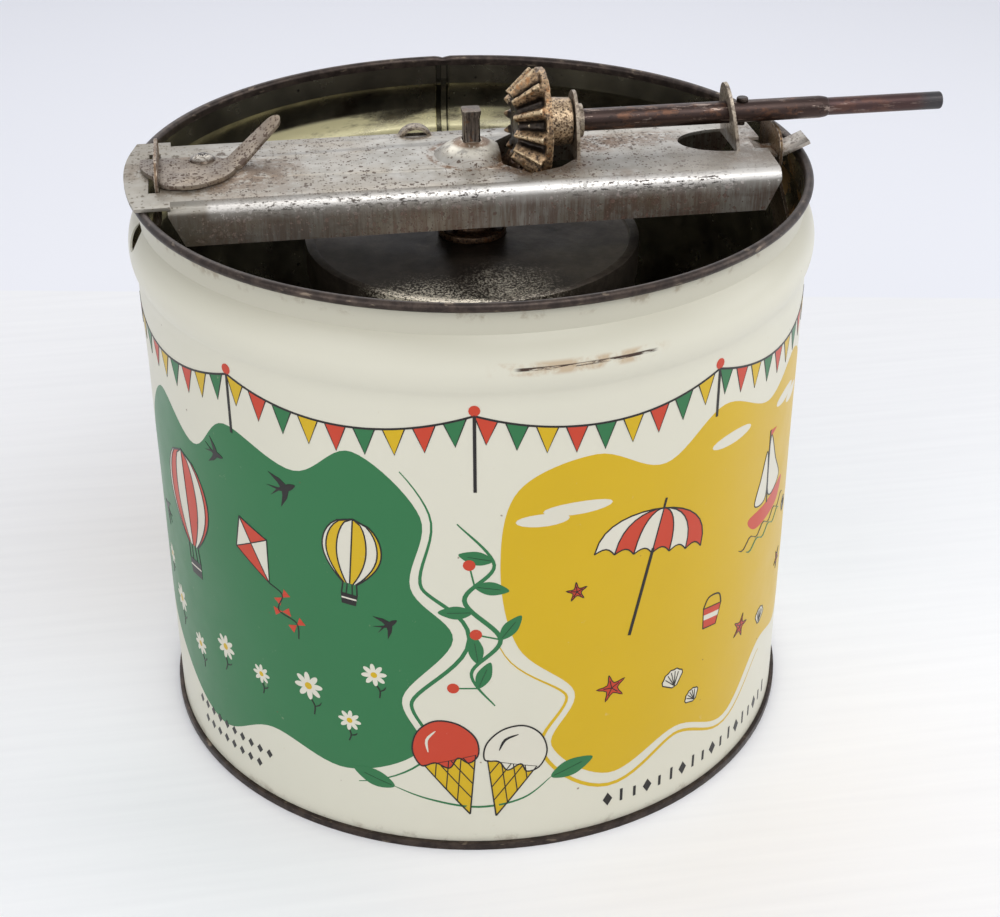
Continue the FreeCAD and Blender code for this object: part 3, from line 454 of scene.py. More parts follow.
def frame_surface():
    """The frame's zinc: streaked skirts, a painted highlight and dark dashes along its bends, rusty ears, a painted
    highlight on the dome's top in a ring of rust, and painted light and shade along its top plate.
    """
    stains = [((x, y, FRAME_TOP + z), radius, strength) for (x, y, z), radius, strength in FRAME_STAINS]
    s = zinc_surface("galvanised_frame", (182, 179, 172), (156, 152, 143), 0.35, 0.3, stains)
    skirt = s.past("Z", FRAME_TOP - 3, FRAME_TOP - 5.5)
    s.lay(s.times(skirt, s.blots(0.36, 0.62, 1.2, 5, 0.75, 15, (1, 1, 12))), 0.7, (118, 92, 80))
    # painted shade: darker at the plate's left end
    s.lay(s.past("X", -88, -104), 0.4, (126, 118, 98))
    across = s.math("ABSOLUTE", s.axis("Y"))
    bend = s.times(s.step(across, (FRAME_HALF - 5) * MM, (FRAME_HALF - 1.5) * MM),
                   s.past("Z", FRAME_TOP - 9, FRAME_TOP - 2.5), s.past("X", -96, -93))
    # painted highlight: pale along the bends, fading down onto the skirts
    s.lay(bend, s.between(s.noise(6, 5, 0.7, 33, (3, 1, 1)), 0.4, 1.1), (240, 237, 232))
    dashes = s.times(bend, s.blots(0.545, 0.59, 0.9, 4, 0.7, 23, (2.6, 1, 1)))
    s.lay(dashes, s.blots(0.38, 0.50, 20, 2, shift=4), (46, 35, 30))
    # painted shade towards the left and painted light on the top towards the right end, evening out how the lamps
    # light the plate
    s.lay(s.past("X", 20, -90), 0.3, (140, 134, 124))
    s.lay(s.past("X", 36, 100), s.past("Z", FRAME_TOP - 2.4, FRAME_TOP - 1.4), 0.4, (206, 201, 193))
    dome_top = (0, 0, FRAME_TOP + 4)
    # painted highlight: a pale blotched cap on the dome's top
    s.lay(s.near(dome_top, 9, 12), s.blots(0.32, 0.50, 4, 4, 0.7, 8), 0.7, (226, 220, 204))
    base = s.times(s.ring(15.0, 1.8), s.blots(0.42, 0.56, 4, 5, 0.75, 18))
    foot = s.times(s.ring(5.2, 2.6), s.blots(0.30, 0.46, 2, 5, 0.7, 28))
    s.lay(s.either(base, foot), 0.85, (104, 72, 42))
    raised = s.times(s.past("Z", FRAME_TOP + 1.6, FRAME_TOP + 3.5),
                     s.minus(1.0, s.near(dome_top, 16, 18)))
    raised = s.either(raised, s.near(LOOP, 6, 9))
    mottled = s.mix(s.blots(0.42, 0.56, 1.8, 6, 0.8, 31), (74, 56, 42), (164, 150, 130))
    s.lay(raised, 0.8, mottled)
    return s.finish()


def edge_surface(name, bright, dark):
    """The cut edges of a sheet or a bar: dark in places, rubbed bright in others."""
    s = Surface(name, 0.6)
    s.tone = s.mix(s.blots(0.42, 0.56, 1.6, 5, 0.75, 6), dark, bright)
    return s.finish(s.between(s.noise(2, 3), 0.3, 0.6), (s.noise(0.8, 3), 0.03))


def iron_surface(name, rust=0.5, highlight_share=1.0, hub=None, darkening=0.0):
    """Cast iron: painted shade in its hollows and between the pinion's teeth, brown on its faces, a painted
    highlight on its outer edges and the pinion's crests, peppered with pits.
    """
    s = Surface(name, 0.6)
    s.tone = s.mix(s.blots(0.36, 0.58, 1.5, 6, 0.78), (66, 51, 40), (180, 150, 114))
    s.lay(s.blots(0.46, 0.58, 3.2, 5, 0.75, 13), 0.55, (70, 54, 42))
    s.lay(s.blots(0.54, 0.62, 4.5, 6, 0.78, 3), rust, (170, 112, 58))
    if hub:
        speckled = s.mix(s.blots(0.42, 0.54, 0.9, 5, 0.75, 4), (88, 66, 47), (190, 166, 134))
        s.lay(s.past("X", hub - 0.5, hub), speckled)
        toothed = s.past("X", hub - 2.2, hub - 2.8)
        depth = s.pinion_depth()
        # painted shade: dark in the gaps between the pinion's teeth, below the pitch cone
        s.lay(s.times(toothed, s.step(depth, 0.010, -0.055)), 0.93, (24, 18, 15))
        # painted highlight over wear: pale golden on the pinion's tooth crests
        crest_wear_and_highlight = s.times(s.step(depth, 0.050, 0.080), s.blots(0.38, 0.52, 1.6, 4, 0.75, 22))
        s.lay(s.times(toothed, crest_wear_and_highlight), 0.7, (214, 190, 152))
    # painted shade: dark in the hollows of the mesh
    s.lay(s.pointiness(0.49, 0.43), 0.8, (30, 23, 19))
    # painted highlight: pale along the outer edges of the mesh, like rubbed iron
    painted_highlight = s.times(s.pointiness(0.525, 0.585), s.between(s.noise(1.4, 4, 0.7, 9), -0.1, 1.5))
    s.lay(painted_highlight, highlight_share, (226, 204, 168))
    # darker overall, towards a dark red-brown
    s.lay(darkening, (58, 30, 24))
    pits = s.dots(0.9, 0.9, 0.5, s.between(s.noise(7, 3, shift=6), 0.2, 1.2))
    s.lay(pits, 0.85, (38, 30, 25))
    return s.finish(s.between(s.noise(2.5, 4, shift=2), 0.28, 0.52),
                    (s.minus(s.noise(0.9, 4, 0.65, 6), pits), 0.12))


def shaft_surface():
    """Brown steel rod, scuffed along its length, dark at its far end."""
    s = Surface("brown_steel", 0.72)
    s.tone = s.mix(s.noise(3, 5, 0.65, 0, (7, 1, 1)), (37, 28, 26), (74, 57, 51))
    s.lay(s.blots(0.52, 0.62, 5, 6, 0.75, 7, (2, 1, 1)), 0.5, (112, 76, 54))
    s.lay(s.blots(0.56, 0.64, 2.2, 6, 0.8, 4, (6, 1, 1)), 0.7, (166, 148, 136))
    s.lay(s.dots(1.8, 1.1, 0.5), 0.7, (40, 31, 28))
    s.lay(s.past("X", SHAFT_END - 44, SHAFT_END - 43), 0.5, (80, 58, 58))
    s.lay(s.past("X", SHAFT_END - 12, SHAFT_END - 4), 0.8, (62, 64, 66))
    return s.finish(s.between(s.noise(4, 4, 0.6, 2, (4, 1, 1)), 0.26, 0.50),
                    (s.noise(1.2, 4, 0.6, 5, (3, 1, 1)), 0.05))


def rivet_surface():
    """A bright steel rivet head, staked on top."""
    s = Surface("staked_steel", 0.8)
    s.tone = s.mix(s.blots(0.40, 0.60, 1.4, 5, 0.75), (112, 102, 90), (196, 189, 177))
    stake = s.times(s.near(RIVET, 1.6, 3.0), s.blots(0.47, 0.53, 1.1, 3, 0.6, 5))
    s.lay(stake, (38, 31, 26))
    # painted shade: a dark band round the lower part of the rivet's head, where it meets the lever
    s.lay(s.past("Z", FRAME_TOP + 3.0, FRAME_TOP + 2.0), 0.85, (66, 50, 37))
    return s.finish(s.between(s.noise(2, 3, shift=2), 0.2, 0.42),
                    (s.minus(s.noise(1.5, 3, shift=4), stake), 0.12))


def stem_surface():
    """Dark iron bar, drawn along its length."""
    s = Surface("drawn_iron", 0.7)
    s.tone = s.mix(s.blots(0.36, 0.64, 1.1, 5, 0.7, 0, (1, 1, 9)), (48, 41, 37), (112, 102, 93))
    s.lay(s.blots(0.52, 0.62, 4, 5, 0.7, 3), 0.5, (122, 82, 50))
    top = s.past("Z", STEM_TOP - 0.6, STEM_TOP - 0.1)
    s.lay(top, s.between(s.noise(1.5, 4, 0.7, 8), 0.2, 1.0), (98, 88, 78))
    return s.finish(s.between(s.noise(2, 4, shift=6), 0.30, 0.55), (s.noise(1.0, 4, 0.6, 5, (1, 1, 6)), 0.08))


def lid_surface():
    """The can's tin: gone dark, with a painted highlight of bright crystals at the front of its lid."""
    s = Surface("can_tin")
    s.tone = s.mix(s.blots(0.34, 0.62, 22, 6, 0.68), (48, 43, 39), (86, 78, 69))
    s.lay(s.blots(0.46, 0.58, 2.6, 6, 0.78, 5), 0.5, (52, 45, 40))
    # painted highlight: the lamp's glint on the lid's front, drawn as spots of bright crystals
    spot = s.either(s.near((-25, -59, CAN_TOP), 2, 36), s.times(s.near((6, -48, CAN_TOP), 2, 32), 0.62))
    spot = s.either(spot, s.near((-14, -62, CAN_TOP), 4, 22))
    crowd = s.times(spot, s.between(s.noise(10, 5, 0.65, 3), -0.02, 0.26))
    crystals = s.step(s.plus(s.noise(0.9, 5, 0.8, 11), crowd), 0.56, 0.62)
    painted_highlight = s.times(s.step(spot, 0.0, 0.8), crystals)
    s.lay(painted_highlight, (248, 238, 216))
    s.feed("Metallic", s.between(painted_highlight, 0.75, 0.35))
    return s.finish(s.between(s.noise(8, 5, shift=8), 0.26, 0.50), (s.noise(16, 3, shift=2), 0.35),
                    (s.noise(1.1, 5, 0.8, 11), 0.05))


def wood_surface():
    s = Surface("maple_blade")
    grain = s.noise(1.6, 5, 0.6, 0, (1, 1, 14))
    s.tone = s.mix(grain, (146, 110, 70), (198, 164, 118))
    s.lay(s.blots(0.5, 0.7, 14, 4, shift=4), 0.5, (120, 88, 58))
    return s.finish(0.6, (grain, 0.08))


# ---- tub wall ----
def bead_arc():
    """Centre and radius of the circle through the bead's two feet and its crest."""
    ax, az = TUB_RADIUS, BEAD_LOW
    bx, bz = TUB_RADIUS + BEAD_DEPTH, BEAD_MIDDLE
    cx, cz = NECK_RADIUS, BEAD_HIGH
    d = 2 * (ax * (bz - cz) + bx * (cz - az) + cx * (az - bz))
    a2, b2, c2 = ax * ax + az * az, bx * bx + bz * bz, cx * cx + cz * cz
    x = (a2 * (bz - cz) + b2 * (cz - az) + c2 * (az - bz)) / d
    z = (a2 * (cx - bx) + b2 * (ax - cx) + c2 * (bx - ax)) / d
    return (x, z), math.hypot(ax - x, az - z)


BEAD_CENTRE, BEAD_CURVE = bead_arc()
OUTSIDE, INSIDE, RIM = 0, 1, 2          # the wall's material numbers

# knocks in the wall: print place (across, height), size across and up, depth
DENTS = [
    ((28, 168), 26, 9, -0.55),
    ((-96, 64), 30, 22, -0.5),
    ((62, 40), 24, 18, 0.4),
    ((118, 120), 34, 26, -0.45),
    ((-150, 150), 20, 14, -0.5),
    ((230, 90), 34, 30, -0.6),
    ((-260, 120), 28, 20, -0.55),
    ((330, 46), 22, 16, -0.5),
]
WAVE = 0.35                             # how far the wall's slow waves push it
RIM_NICK = 0.7                          # how deep the rim is knocked above the seam


def round_tub(radius, angle, height):
    """A point at degrees round the tub."""
    return polar((0, 0), radius, angle) + (height,)


def wrapped(angle):
    """Degrees from -180 to 180."""
    return (angle + 180) % 360 - 180


def wall_radius(height):
    """Outside radius of the undented wall."""
    if height <= BEAD_LOW:
        return TUB_RADIUS
    if height >= BEAD_HIGH:
        return NECK_RADIUS
    rise = height - BEAD_CENTRE[1]
    return BEAD_CENTRE[0] + math.sqrt(BEAD_CURVE ** 2 - rise ** 2)


def dent(angle, height):
    """How far the wall is pushed out at a place round it: slow waves, and the knocks."""
    if height > BEAD_HIGH:
        return 0.0
    fade = min(1.0, height / 25, (BEAD_HIGH - height) / 20)
    place = round_tub(2.1, angle, height / 70)
    push = WAVE * noise.noise(Vector(place))
    along = math.radians(wrapped(angle - FRONT_ANGLE)) * TUB_RADIUS
    for (u, v), wide, high, depth in DENTS:
        push += depth * math.exp(-((along - u) / wide) ** 2 - ((height - v) / high) ** 2)
    return push * fade


def on_wall(along, height, proud=0.0):
    """A point of the print: millimetres round the tub from the front, height, and how proud it stands."""
    angle = FRONT_ANGLE + math.degrees(along / TUB_RADIUS)
    return round_tub(wall_radius(height) + dent(angle, height) + proud, angle, height)


def wall_profile():
    """The wall's closed outline as (radius, height), with a material number for each side."""
    curl = (NECK_RADIUS - WALL + CURL_RADIUS, RIM_TOP - CURL_RADIUS)
    straight = [WALL_FOOT + (BEAD_LOW - WALL_FOOT) * i / 40 for i in range(40)]
    bead = [BEAD_LOW + (BEAD_HIGH - BEAD_LOW) * i / 18 for i in range(19)]
    heights = straight + bead + [curl[1] - 2.0]
    profile = [(wall_radius(z) - WALL, z, INSIDE) for z in heights]
    profile += [(x, z, RIM) for x, z in arc(curl, CURL_RADIUS, 180, CURL_END, 20)]
    profile += [(x, z, RIM) for x, z in arc(curl, CURL_HOLE, CURL_END, 180, 14)]
    profile += [(wall_radius(z), z, OUTSIDE) for z in reversed(heights)]
    return profile


def tub_wall():
    turns = 480
    profile = wall_profile()
    points = []
    for i in range(turns):
        angle = 360 * i / turns
        seam_away = math.radians(wrapped(angle - SEAM_ANGLE)) * TUB_RADIUS
        nick = RIM_NICK * math.exp(-(seam_away / 1.6) ** 2)
        for radius, height, side in profile:
            drop = nick if side == RIM and height > RIM_TOP - CURL_RADIUS else 0.0
            points.append(round_tub(radius + dent(angle, height), angle, height - drop))
    sides = [side for _, _, side in profile]
    slots = [max(pair) for pair in zip(sides, sides[1:] + sides[:1])] * turns
    faces = loft(turns, len(profile), closed=True)
    wall = mesh_piece("tub_wall", points, faces, wall_surface())
    wall.data.materials.append(inside_surface("inside_tinplate"))
    wall.data.materials.append(rim_surface("rim_steel"))
    wall.data.polygons.foreach_set("material_index", slots)
    drain_hole(wall)
    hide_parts("tub_shell")
    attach(wall, "root")


def drain_hole(wall):
    """Cuts the drain through the wall."""
    middle = Vector(round_tub(TUB_RADIUS, DRAIN_ANGLE, DRAIN_HEIGHT)) * MM
    bpy.ops.mesh.primitive_cylinder_add(vertices=48, radius=DRAIN_RADIUS * MM, depth=24 * MM, location=middle,
                                        rotation=(0, math.pi / 2, math.radians(DRAIN_ANGLE)))
    cutter = bpy.context.object
    cut = wall.modifiers.new("drain", "BOOLEAN")
    cut.object = cutter
    cut.solver = "EXACT"
    mesh = evaluated_mesh(wall)
    wall.modifiers.clear()
    wall.data = mesh
    bpy.data.objects.remove(cutter)


def evaluated_mesh(piece):
    graph = bpy.context.evaluated_depsgraph_get()
    return bpy.data.meshes.new_from_object(piece.evaluated_get(graph))


# the seam's outline: across the strip, as shares of half its width, and out of the wall, as shares of its depth
SEAM_OUTLINE = [(-0.8, 0.0), (-0.74, 0.5), (-0.6, 0.6), (-0.55, 0.2), (-0.42, 0.1), (-0.36, 1.0), (0.3, 1.0),
                (0.36, 0.1), (0.88, 0.1), (0.94, 0.6), (1.0, 0.0), (0.0, -0.2)]
SEAM_GROOVES = (2, 3, 4, 6, 7, 8)


def side_seam():
    """The folded seam up the inside of the wall, with painted shade in a groove at each side of its fold."""
    half = math.degrees(SEAM_WIDTH / 2 / TUB_RADIUS)
    heights = [SEAM_FOOT + (BEAD_LOW - SEAM_FOOT) * i / 20 for i in range(20)]
    heights += [BEAD_LOW + (BEAD_HIGH + SEAM_PAST_BEAD - BEAD_LOW) * i / 16 for i in range(17)]
    points = []
    for height in heights:
        for share, depth in SEAM_OUTLINE:
            angle = SEAM_ANGLE + half * share
            radius = wall_radius(height) + dent(angle, height) - WALL - SEAM_DEPTH * depth
            points.append(round_tub(radius, angle, height))
    count = len(SEAM_OUTLINE)
    faces = loft(len(heights), count, flip=True)
    slots = [1, 1] + [int(j in SEAM_GROOVES) for j in range(count)] * (len(heights) - 1)
    seam = mesh_piece("side_seam", points, faces, bpy.data.materials["inside_tinplate"])
    # painted shade: the grooves take a copy of the inside's material at a fifth of its brightness
    seam.data.materials.append(inside_surface("seam_groove_painted_shade", 0.2))
    seam.data.polygons.foreach_set("material_index", slots)
    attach(seam, "root")


# ---- print ----
# A place in the print is (u, v): millimetres round the tub from the front, to the right, and height.
INKS = {
    "yellow": (206, 170, 12),
    "green": (42, 112, 66),
    "red": (194, 62, 36),
    "cream": (216, 212, 196),
    "black": (30, 27, 26),
}
shapes = {ink: [] for ink in INKS}


def curve(points, closed=True, steps=7):
    """A smooth line through points."""
    count = len(points)
    line = []
    for i in range(count if closed else count - 1):
        near = [(i + j) % count if closed else min(max(i + j, 0), count - 1) for j in (-1, 0, 1, 2)]
        a, b, c, d = [Vector(points[j]) for j in near]
        for k in range(steps):
            t = k / steps
            spot = 2 * b + (c - a) * t + (2 * a - 5 * b + 4 * c - d) * t * t + (3 * b - a - 3 * c + d) * t ** 3
            line.append(tuple(spot / 2))
    if not closed:
        line.append(tuple(points[-1]))
    return line


def oval(place, wide, high, turn=0.0, steps=20):
    frame_of_oval = Pen(place, 1, turn)
    turns = [2 * math.pi * i / steps for i in range(steps)]
    return [frame_of_oval.at((wide * math.cos(t), high * math.sin(t))) for t in turns]


class Pen:
    """Draws in its own frame: a place, a size and a turn. A line keeps its width."""

    def __init__(self, place=(0, 0), size=1.0, turn=0.0):
        self.place = place
        self.size = size
        self.turn = turn

    def at(self, point):
        c, s = math.cos(math.radians(self.turn)), math.sin(math.radians(self.turn))
        x, y = point[0] * self.size, point[1] * self.size
        return (self.place[0] + x * c - y * s, self.place[1] + x * s + y * c)

    def fill(self, ink, layer, outline):
        """An inked area. A higher layer lies on a lower one."""
        shapes[ink].append((layer, [self.at(p) for p in outline]))

    def line(self, points, width, taper=False, ink="black", layer=4):
        """An inked line, which may run out thin at its ends."""
        points = [self.at(p) for p in points]
        count = len(points)
        left, right = [], []
        for i, here in enumerate(points):
            before, after = points[max(i - 1, 0)], points[min(i + 1, count - 1)]
            run = Vector(after) - Vector(before)
            run.normalize()
            half = width / 2
            if taper:
                half *= 0.25 + 0.75 * math.sin(math.pi * i / (count - 1))
            left.append((here[0] - run.y * half, here[1] + run.x * half))
            right.append((here[0] + run.y * half, here[1] - run.x * half))
        for i in range(count - 1):
            shapes[ink].append((layer, [right[i], right[i + 1], left[i + 1], left[i]]))

    def ring(self, outline, width, layer=4):
        self.line(list(outline) + [outline[0]], width, layer=layer)


paper = Pen()


def balloon(pen, first, second):
    """A hot-air balloon with gores in two inks."""
    gores = 6
    crown, mouth = 20.0, -22.0
    basket = -29

    def edge(share, height):
        """Half width of the bag at a height, times a share of it."""
        if height > 0:
            half = 17 * math.sqrt(max(0.0, 1 - (height / crown) ** 2))
        else:
            half = 4 + 13 * math.cos(height / mouth * math.pi / 2) ** 0.9
        return share * half

    heights = [mouth + (crown - mouth) * i / 14 for i in range(15)]
    for i in range(gores):
        low, high = [-math.cos(math.pi * j / gores) for j in (i, i + 1)]
        outline = [(edge(high, h), h) for h in heights] + [(edge(low, h), h) for h in reversed(heights)]
        pen.fill(first if i % 2 else second, 2, outline)
        pen.line([(edge(low, h), h) for h in heights], 0.5)
    pen.line([(edge(1, h), h) for h in heights], 0.5)
    pen.fill("black", 3, [(-4.2, -36), (4.2, -36), (5, basket), (-5, basket)])
    for side in (-1, 1):
        pen.line([(side * 4, mouth), (side * 4.6, basket)], 0.5)
        pen.line([(side * 1.4, mouth), (side * 1.8, basket)], 0.4)
    pen.line([(-4.4, -32), (4.4, -32)], 0.6, ink="cream")


def kite(pen):
    top, right, low, left = (0, 15), (10, 3), (0, -15), (-10, 3)
    middle = (0, 3)
    for ink, corner, other in (("red", top, right), ("cream", right, low), ("red", low, left), ("cream", left, top)):
        pen.fill(ink, 2, [middle, other, corner])
    pen.ring([top, left, low, right], 0.55)
    pen.line([top, low], 0.4)
    pen.line([left, right], 0.4)
    pen.line(curve([low, (4, -21), (-2, -27), (4, -34), (1, -41)], False), 0.45)
    for x, y, lean in ((3.2, -22, 20), (-0.5, -28, -15), (3.6, -35, 15)):
        bow = Pen(pen.at((x, y)), pen.size, pen.turn + lean)
        for side in (-1, 1):
            bow.fill("red", 3, [(0, 0), (side * 4, side * -2.0), (side * 4, side * 2.0)])


def swallow(pen):
    pen.fill("black", 4, curve([(9, 1.2), (5, 2.6), (1, 2.2), (-5, 0.6), (-5, -1), (1, -2), (5.5, -1.2)]))
    for side in (-1, 1):
        wing = [(3, side * 1.4), (-1, side * 7), (-8, side * 12), (-3.5, side * 4.5), (-2.5, side * 1)]
        tail = [(-4, side * 0.8), (-13, side * 3.6), (-6, side * -0.2)]
        for outline in (wing, tail):
            pen.fill("black", 4, outline[::side])


def daisy(pen, petals=8):
    for i in range(petals):
        angle = 360 * i / petals
        pen.fill("cream", 2, oval(polar((0, 0), 3.4, angle), 2.5, 1.15, angle, 12))
    pen.fill("yellow", 3, oval((0, 0), 1.5, 1.5, 0, 12))
    pen.line(curve([(0.4, -5.6), (1.4, -8.5), (0.6, -12)], False, 4), 0.5)
    pen.line(curve([(1.2, -8.6), (3.4, -7.6), (4.4, -6.2)], False, 4), 0.5, True)


def umbrella(pen):
    """A striped beach umbrella."""
    gores = 6
    half, crown, scallop = 24, 18, 2.2

    def rib(share):
        """From the crown to the rim, a share of the half width out."""
        turns = [k / 8 * math.pi / 2 for k in range(8)]
        return [(half * share * math.sin(t), crown * math.cos(t) ** 0.8) for t in turns] + [(half * share, 0.0)]

    for i in range(gores):
        low, high = -1 + 2 * i / gores, -1 + 2 * (i + 1) / gores
        up, down = rib(low), rib(high)
        foot = [(half * (low + (high - low) * k / 6), scallop * math.sin(math.pi * k / 6)) for k in range(1, 6)]
        pen.fill("red" if i % 2 else "cream", 2, down[:0:-1] + up + foot)
        pen.line(up, 0.5)
        pen.line([up[-1]] + foot + [down[-1]], 0.5)
        if i == gores - 1:
            pen.line(down, 0.5)
    pen.line([(0, 18), (0, 22)], 0.9)
    pen.line([(0, 2), (0, -34)], 1.2)


def sailboat(pen):
    pen.fill("red", 2, curve([(-17, 0), (0, -0.6), (19, 1), (13, -7), (0, -8.4), (-12, -7)]))
    sails = [curve(points, True, 6) for points in ([(1, 2.5), (14, 4), (8, 16), (1, 30)],
                                                   [(-1.5, 3), (-1.5, 24), (-7, 14), (-12, 4)])]
    for sail in sails:
        pen.fill("cream", 2, sail)
    pen.line([(0, -1), (0, 33)], 0.9)
    for sail in sails:
        pen.ring(sail, 0.5)
    pen.fill("red", 3, [(0, 33), (0, 29.5), (7, 31)])
    for ink, count, start, level, rise, width in (("black", 4, -24, -10.5, 1.6, 0.7),
                                                  ("green", 3, -18, -14.5, 1.4, 0.9)):
        for i in range(count):
            wave = [(start + 12 * i + k, level - rise * math.sin(k * math.pi / 6)) for k in range(0, 13, 2)]
            pen.line(wave, width, True, ink)


def starfish(pen):
    points = []
    for i in range(5):
        points += [polar((0, 0), 6.5, 90 + 72 * i), polar((0, 0), 2.5, 126 + 72 * i)]
    outline = curve(points, True, 3)
    pen.fill("red", 2, outline)
    pen.ring(outline, 0.35)
    for i in range(5):
        pen.line([(0, 0), polar((0, 0), 3.6, 90 + 72 * i)], 0.35)


def shell(pen):
    fan = [(-1.4, -4.4), (1.4, -4.4)] + [polar((0, -1), 6 + 0.5 * (i % 2), 10 + 160 * i / 10) for i in range(11)]
    pen.fill("cream", 2, fan)
    pen.ring(fan, 0.45)
    for angle in (40, 65, 90, 115, 140):
        pen.line([(0, -4), polar((0, -1), 5, angle)], 0.35)


def bucket(pen):
    outline = [(-5, -7), (5, -7), (7, 5), (-7, 5)]
    pen.fill("red", 2, outline)
    pen.fill("cream", 3, [(-5.9, -2), (5.9, -2), (6.4, 1), (-6.4, 1)])
    pen.ring(outline, 0.5)
    pen.line(curve([(-7, 5), (-4, 11), (4, 11), (7, 5)], False, 5), 0.6)


def cloud(pen, half):
    pen.fill("cream", 2, oval((0, 0), half, 2.4, 0, 18))


def vine(*points):
    """A green stem with leaves to both sides and a berry at every other leaf."""
    line = curve(points, False, 10)
    paper.line(line, 1.7, True, "green", 2)
    for i in range(6, len(line) - 4, 7):
        here, after = line[i], line[i + 1]
        along = math.degrees(math.atan2(after[1] - here[1], after[0] - here[0]))
        side = 1 if i // 7 % 2 else -1
        leaf(Pen(here, 0.78, along + side * 52))
        if i // 7 % 2 == 0:
            away = along - side * 60
            paper.line([here, polar(here, 7, away)], 0.6, False, "green", 2)
            paper.fill("red", 3, oval(polar(here, 8.6, away), 2.1, 2.1, 0, 14))


def leaf(pen):
    pen.fill("green", 2, curve([(0, 0), (4, 2.9), (9, 3.2), (15, 0), (9, -3.0), (4, -2.7)], True, 5))
    pen.line([(1, 0), (11, 0.2)], 0.45, True)


def cone(pen, scoop):
    """An ice-cream cone."""
    wafer = [(0, -24), (9, 0), (-9, 0)]
    pen.fill("yellow", 2, wafer)
    for k in (0.28, 0.52, 0.76):
        for side in (-1, 1):
            pen.line([(side * (9 - 18 * k), 0), (side * -9 * k, -24 + 24 * k)], 0.4)
    pen.ring(wafer, 0.55, 5)
    ball = curve([(-10, 0), (-11, 7), (-7, 14), (0, 17), (7, 14), (11, 7), (10, 0), (6, -2.6), (3, 0.4), (-1, -3),
                  (-5, 0.2)])
    pen.fill(scoop, 3, ball)
    pen.ring(ball, 0.55, 5)
    shine = "black" if scoop == "cream" else "cream"
    pen.line(curve([(-6, 5), (-5, 10), (-1, 13)], False, 4), 1.0, True, shine, 5)


def bunting(start, end, *inks):
    """Pennants on a string that hangs between two places."""
    flags, sag = 9, 7
    steps = flags * 4
    line = []
    for i in range(steps + 1):
        t = i / steps
        line.append((start[0] + (end[0] - start[0]) * t, start[1] + (end[1] - start[1]) * t - 4 * sag * t * (1 - t)))
    for i in range(flags):
        a, b = line[4 * i], line[4 * i + 3]
        tip = ((a[0] + b[0]) / 2, (a[1] + b[1]) / 2 - 9.5)
        paper.fill(inks[i % len(inks)], 3, [tip, b, a])
        paper.line([a, tip, b], 0.4)
    paper.line(line, 0.7)


def post(u, foot, top=178):
    """A thin black post with a ball on top."""
    paper.line([(u, foot), (u, top)], 1.1)
    paper.fill("red", 4, oval((u, top + 1.8), 1.9, 1.9, 0, 12))


def field(ink, start, end, points):
    """A big patch of colour, with a ribbon of the same ink that follows part of its edge."""
    line = curve(points, True, 10)
    paper.fill(ink, 1, line)
    count = len(line)
    path = []
    for i in range(int(start * count), int(end * count)):
        here, after = Vector(line[i % count]), Vector(line[(i + 1) % count])
        run = after - here
        run.normalize()
        off = 4.2 + 1.3 * math.sin(i / 5)
        path.append((here.x + run.y * off, here.y - run.x * off))
    paper.line(path, 1.5, True, ink, 1)


def diamond(u, v, wide, high):
    paper.fill("black", 3, [(u, v - high), (u + wide, v), (u, v + high), (u - wide, v)])


# the motifs' places: across, height, size, turn, and what else a motif takes
MOTIFS = [
    (balloon, (-122, 116, 0.92, 4, "red", "cream"), (-42, 124, 0.62, -5, "yellow", "cream")),
    (kite, (-82, 112, 0.86, 28)),
    (swallow, (-66, 142, 0.55, 20), (-98, 144, 0.45, -10), (-150, 96, 0.5, 160), (-30, 96, 0.42, 30)),
    (daisy, (-142, 60, 1.0, 0), (-124, 50, 0.8, 10), (-104, 60, 0.9, -8), (-62, 62, 1.0, 6), (-46, 52, 0.75, -6),
     (-84, 58, 0.7, 0), (-36, 74, 0.8, 8), (-152, 74, 0.7, -6)),
    (umbrella, (62, 116, 0.95, -14)),
    (sailboat, (128, 108, 0.9, 3)),
    (bucket, (92, 78, 0.7, -8)),
    (starfish, (48, 64, 0.9, 12), (112, 62, 0.8, -20), (150, 70, 0.7, 30), (34, 108, 0.6, 5)),
    (shell, (74, 58, 0.8, 14), (130, 56, 0.7, -12), (84, 46, 0.6, 30), (154, 92, 0.6, -20)),
    (cloud, (22, 138, 1, 0, 9), (34, 141, 1, 0, 12), (98, 148, 1, 0, 11), (140, 146, 1, 0, 10), (150, 142, 1, 0, 8)),
]


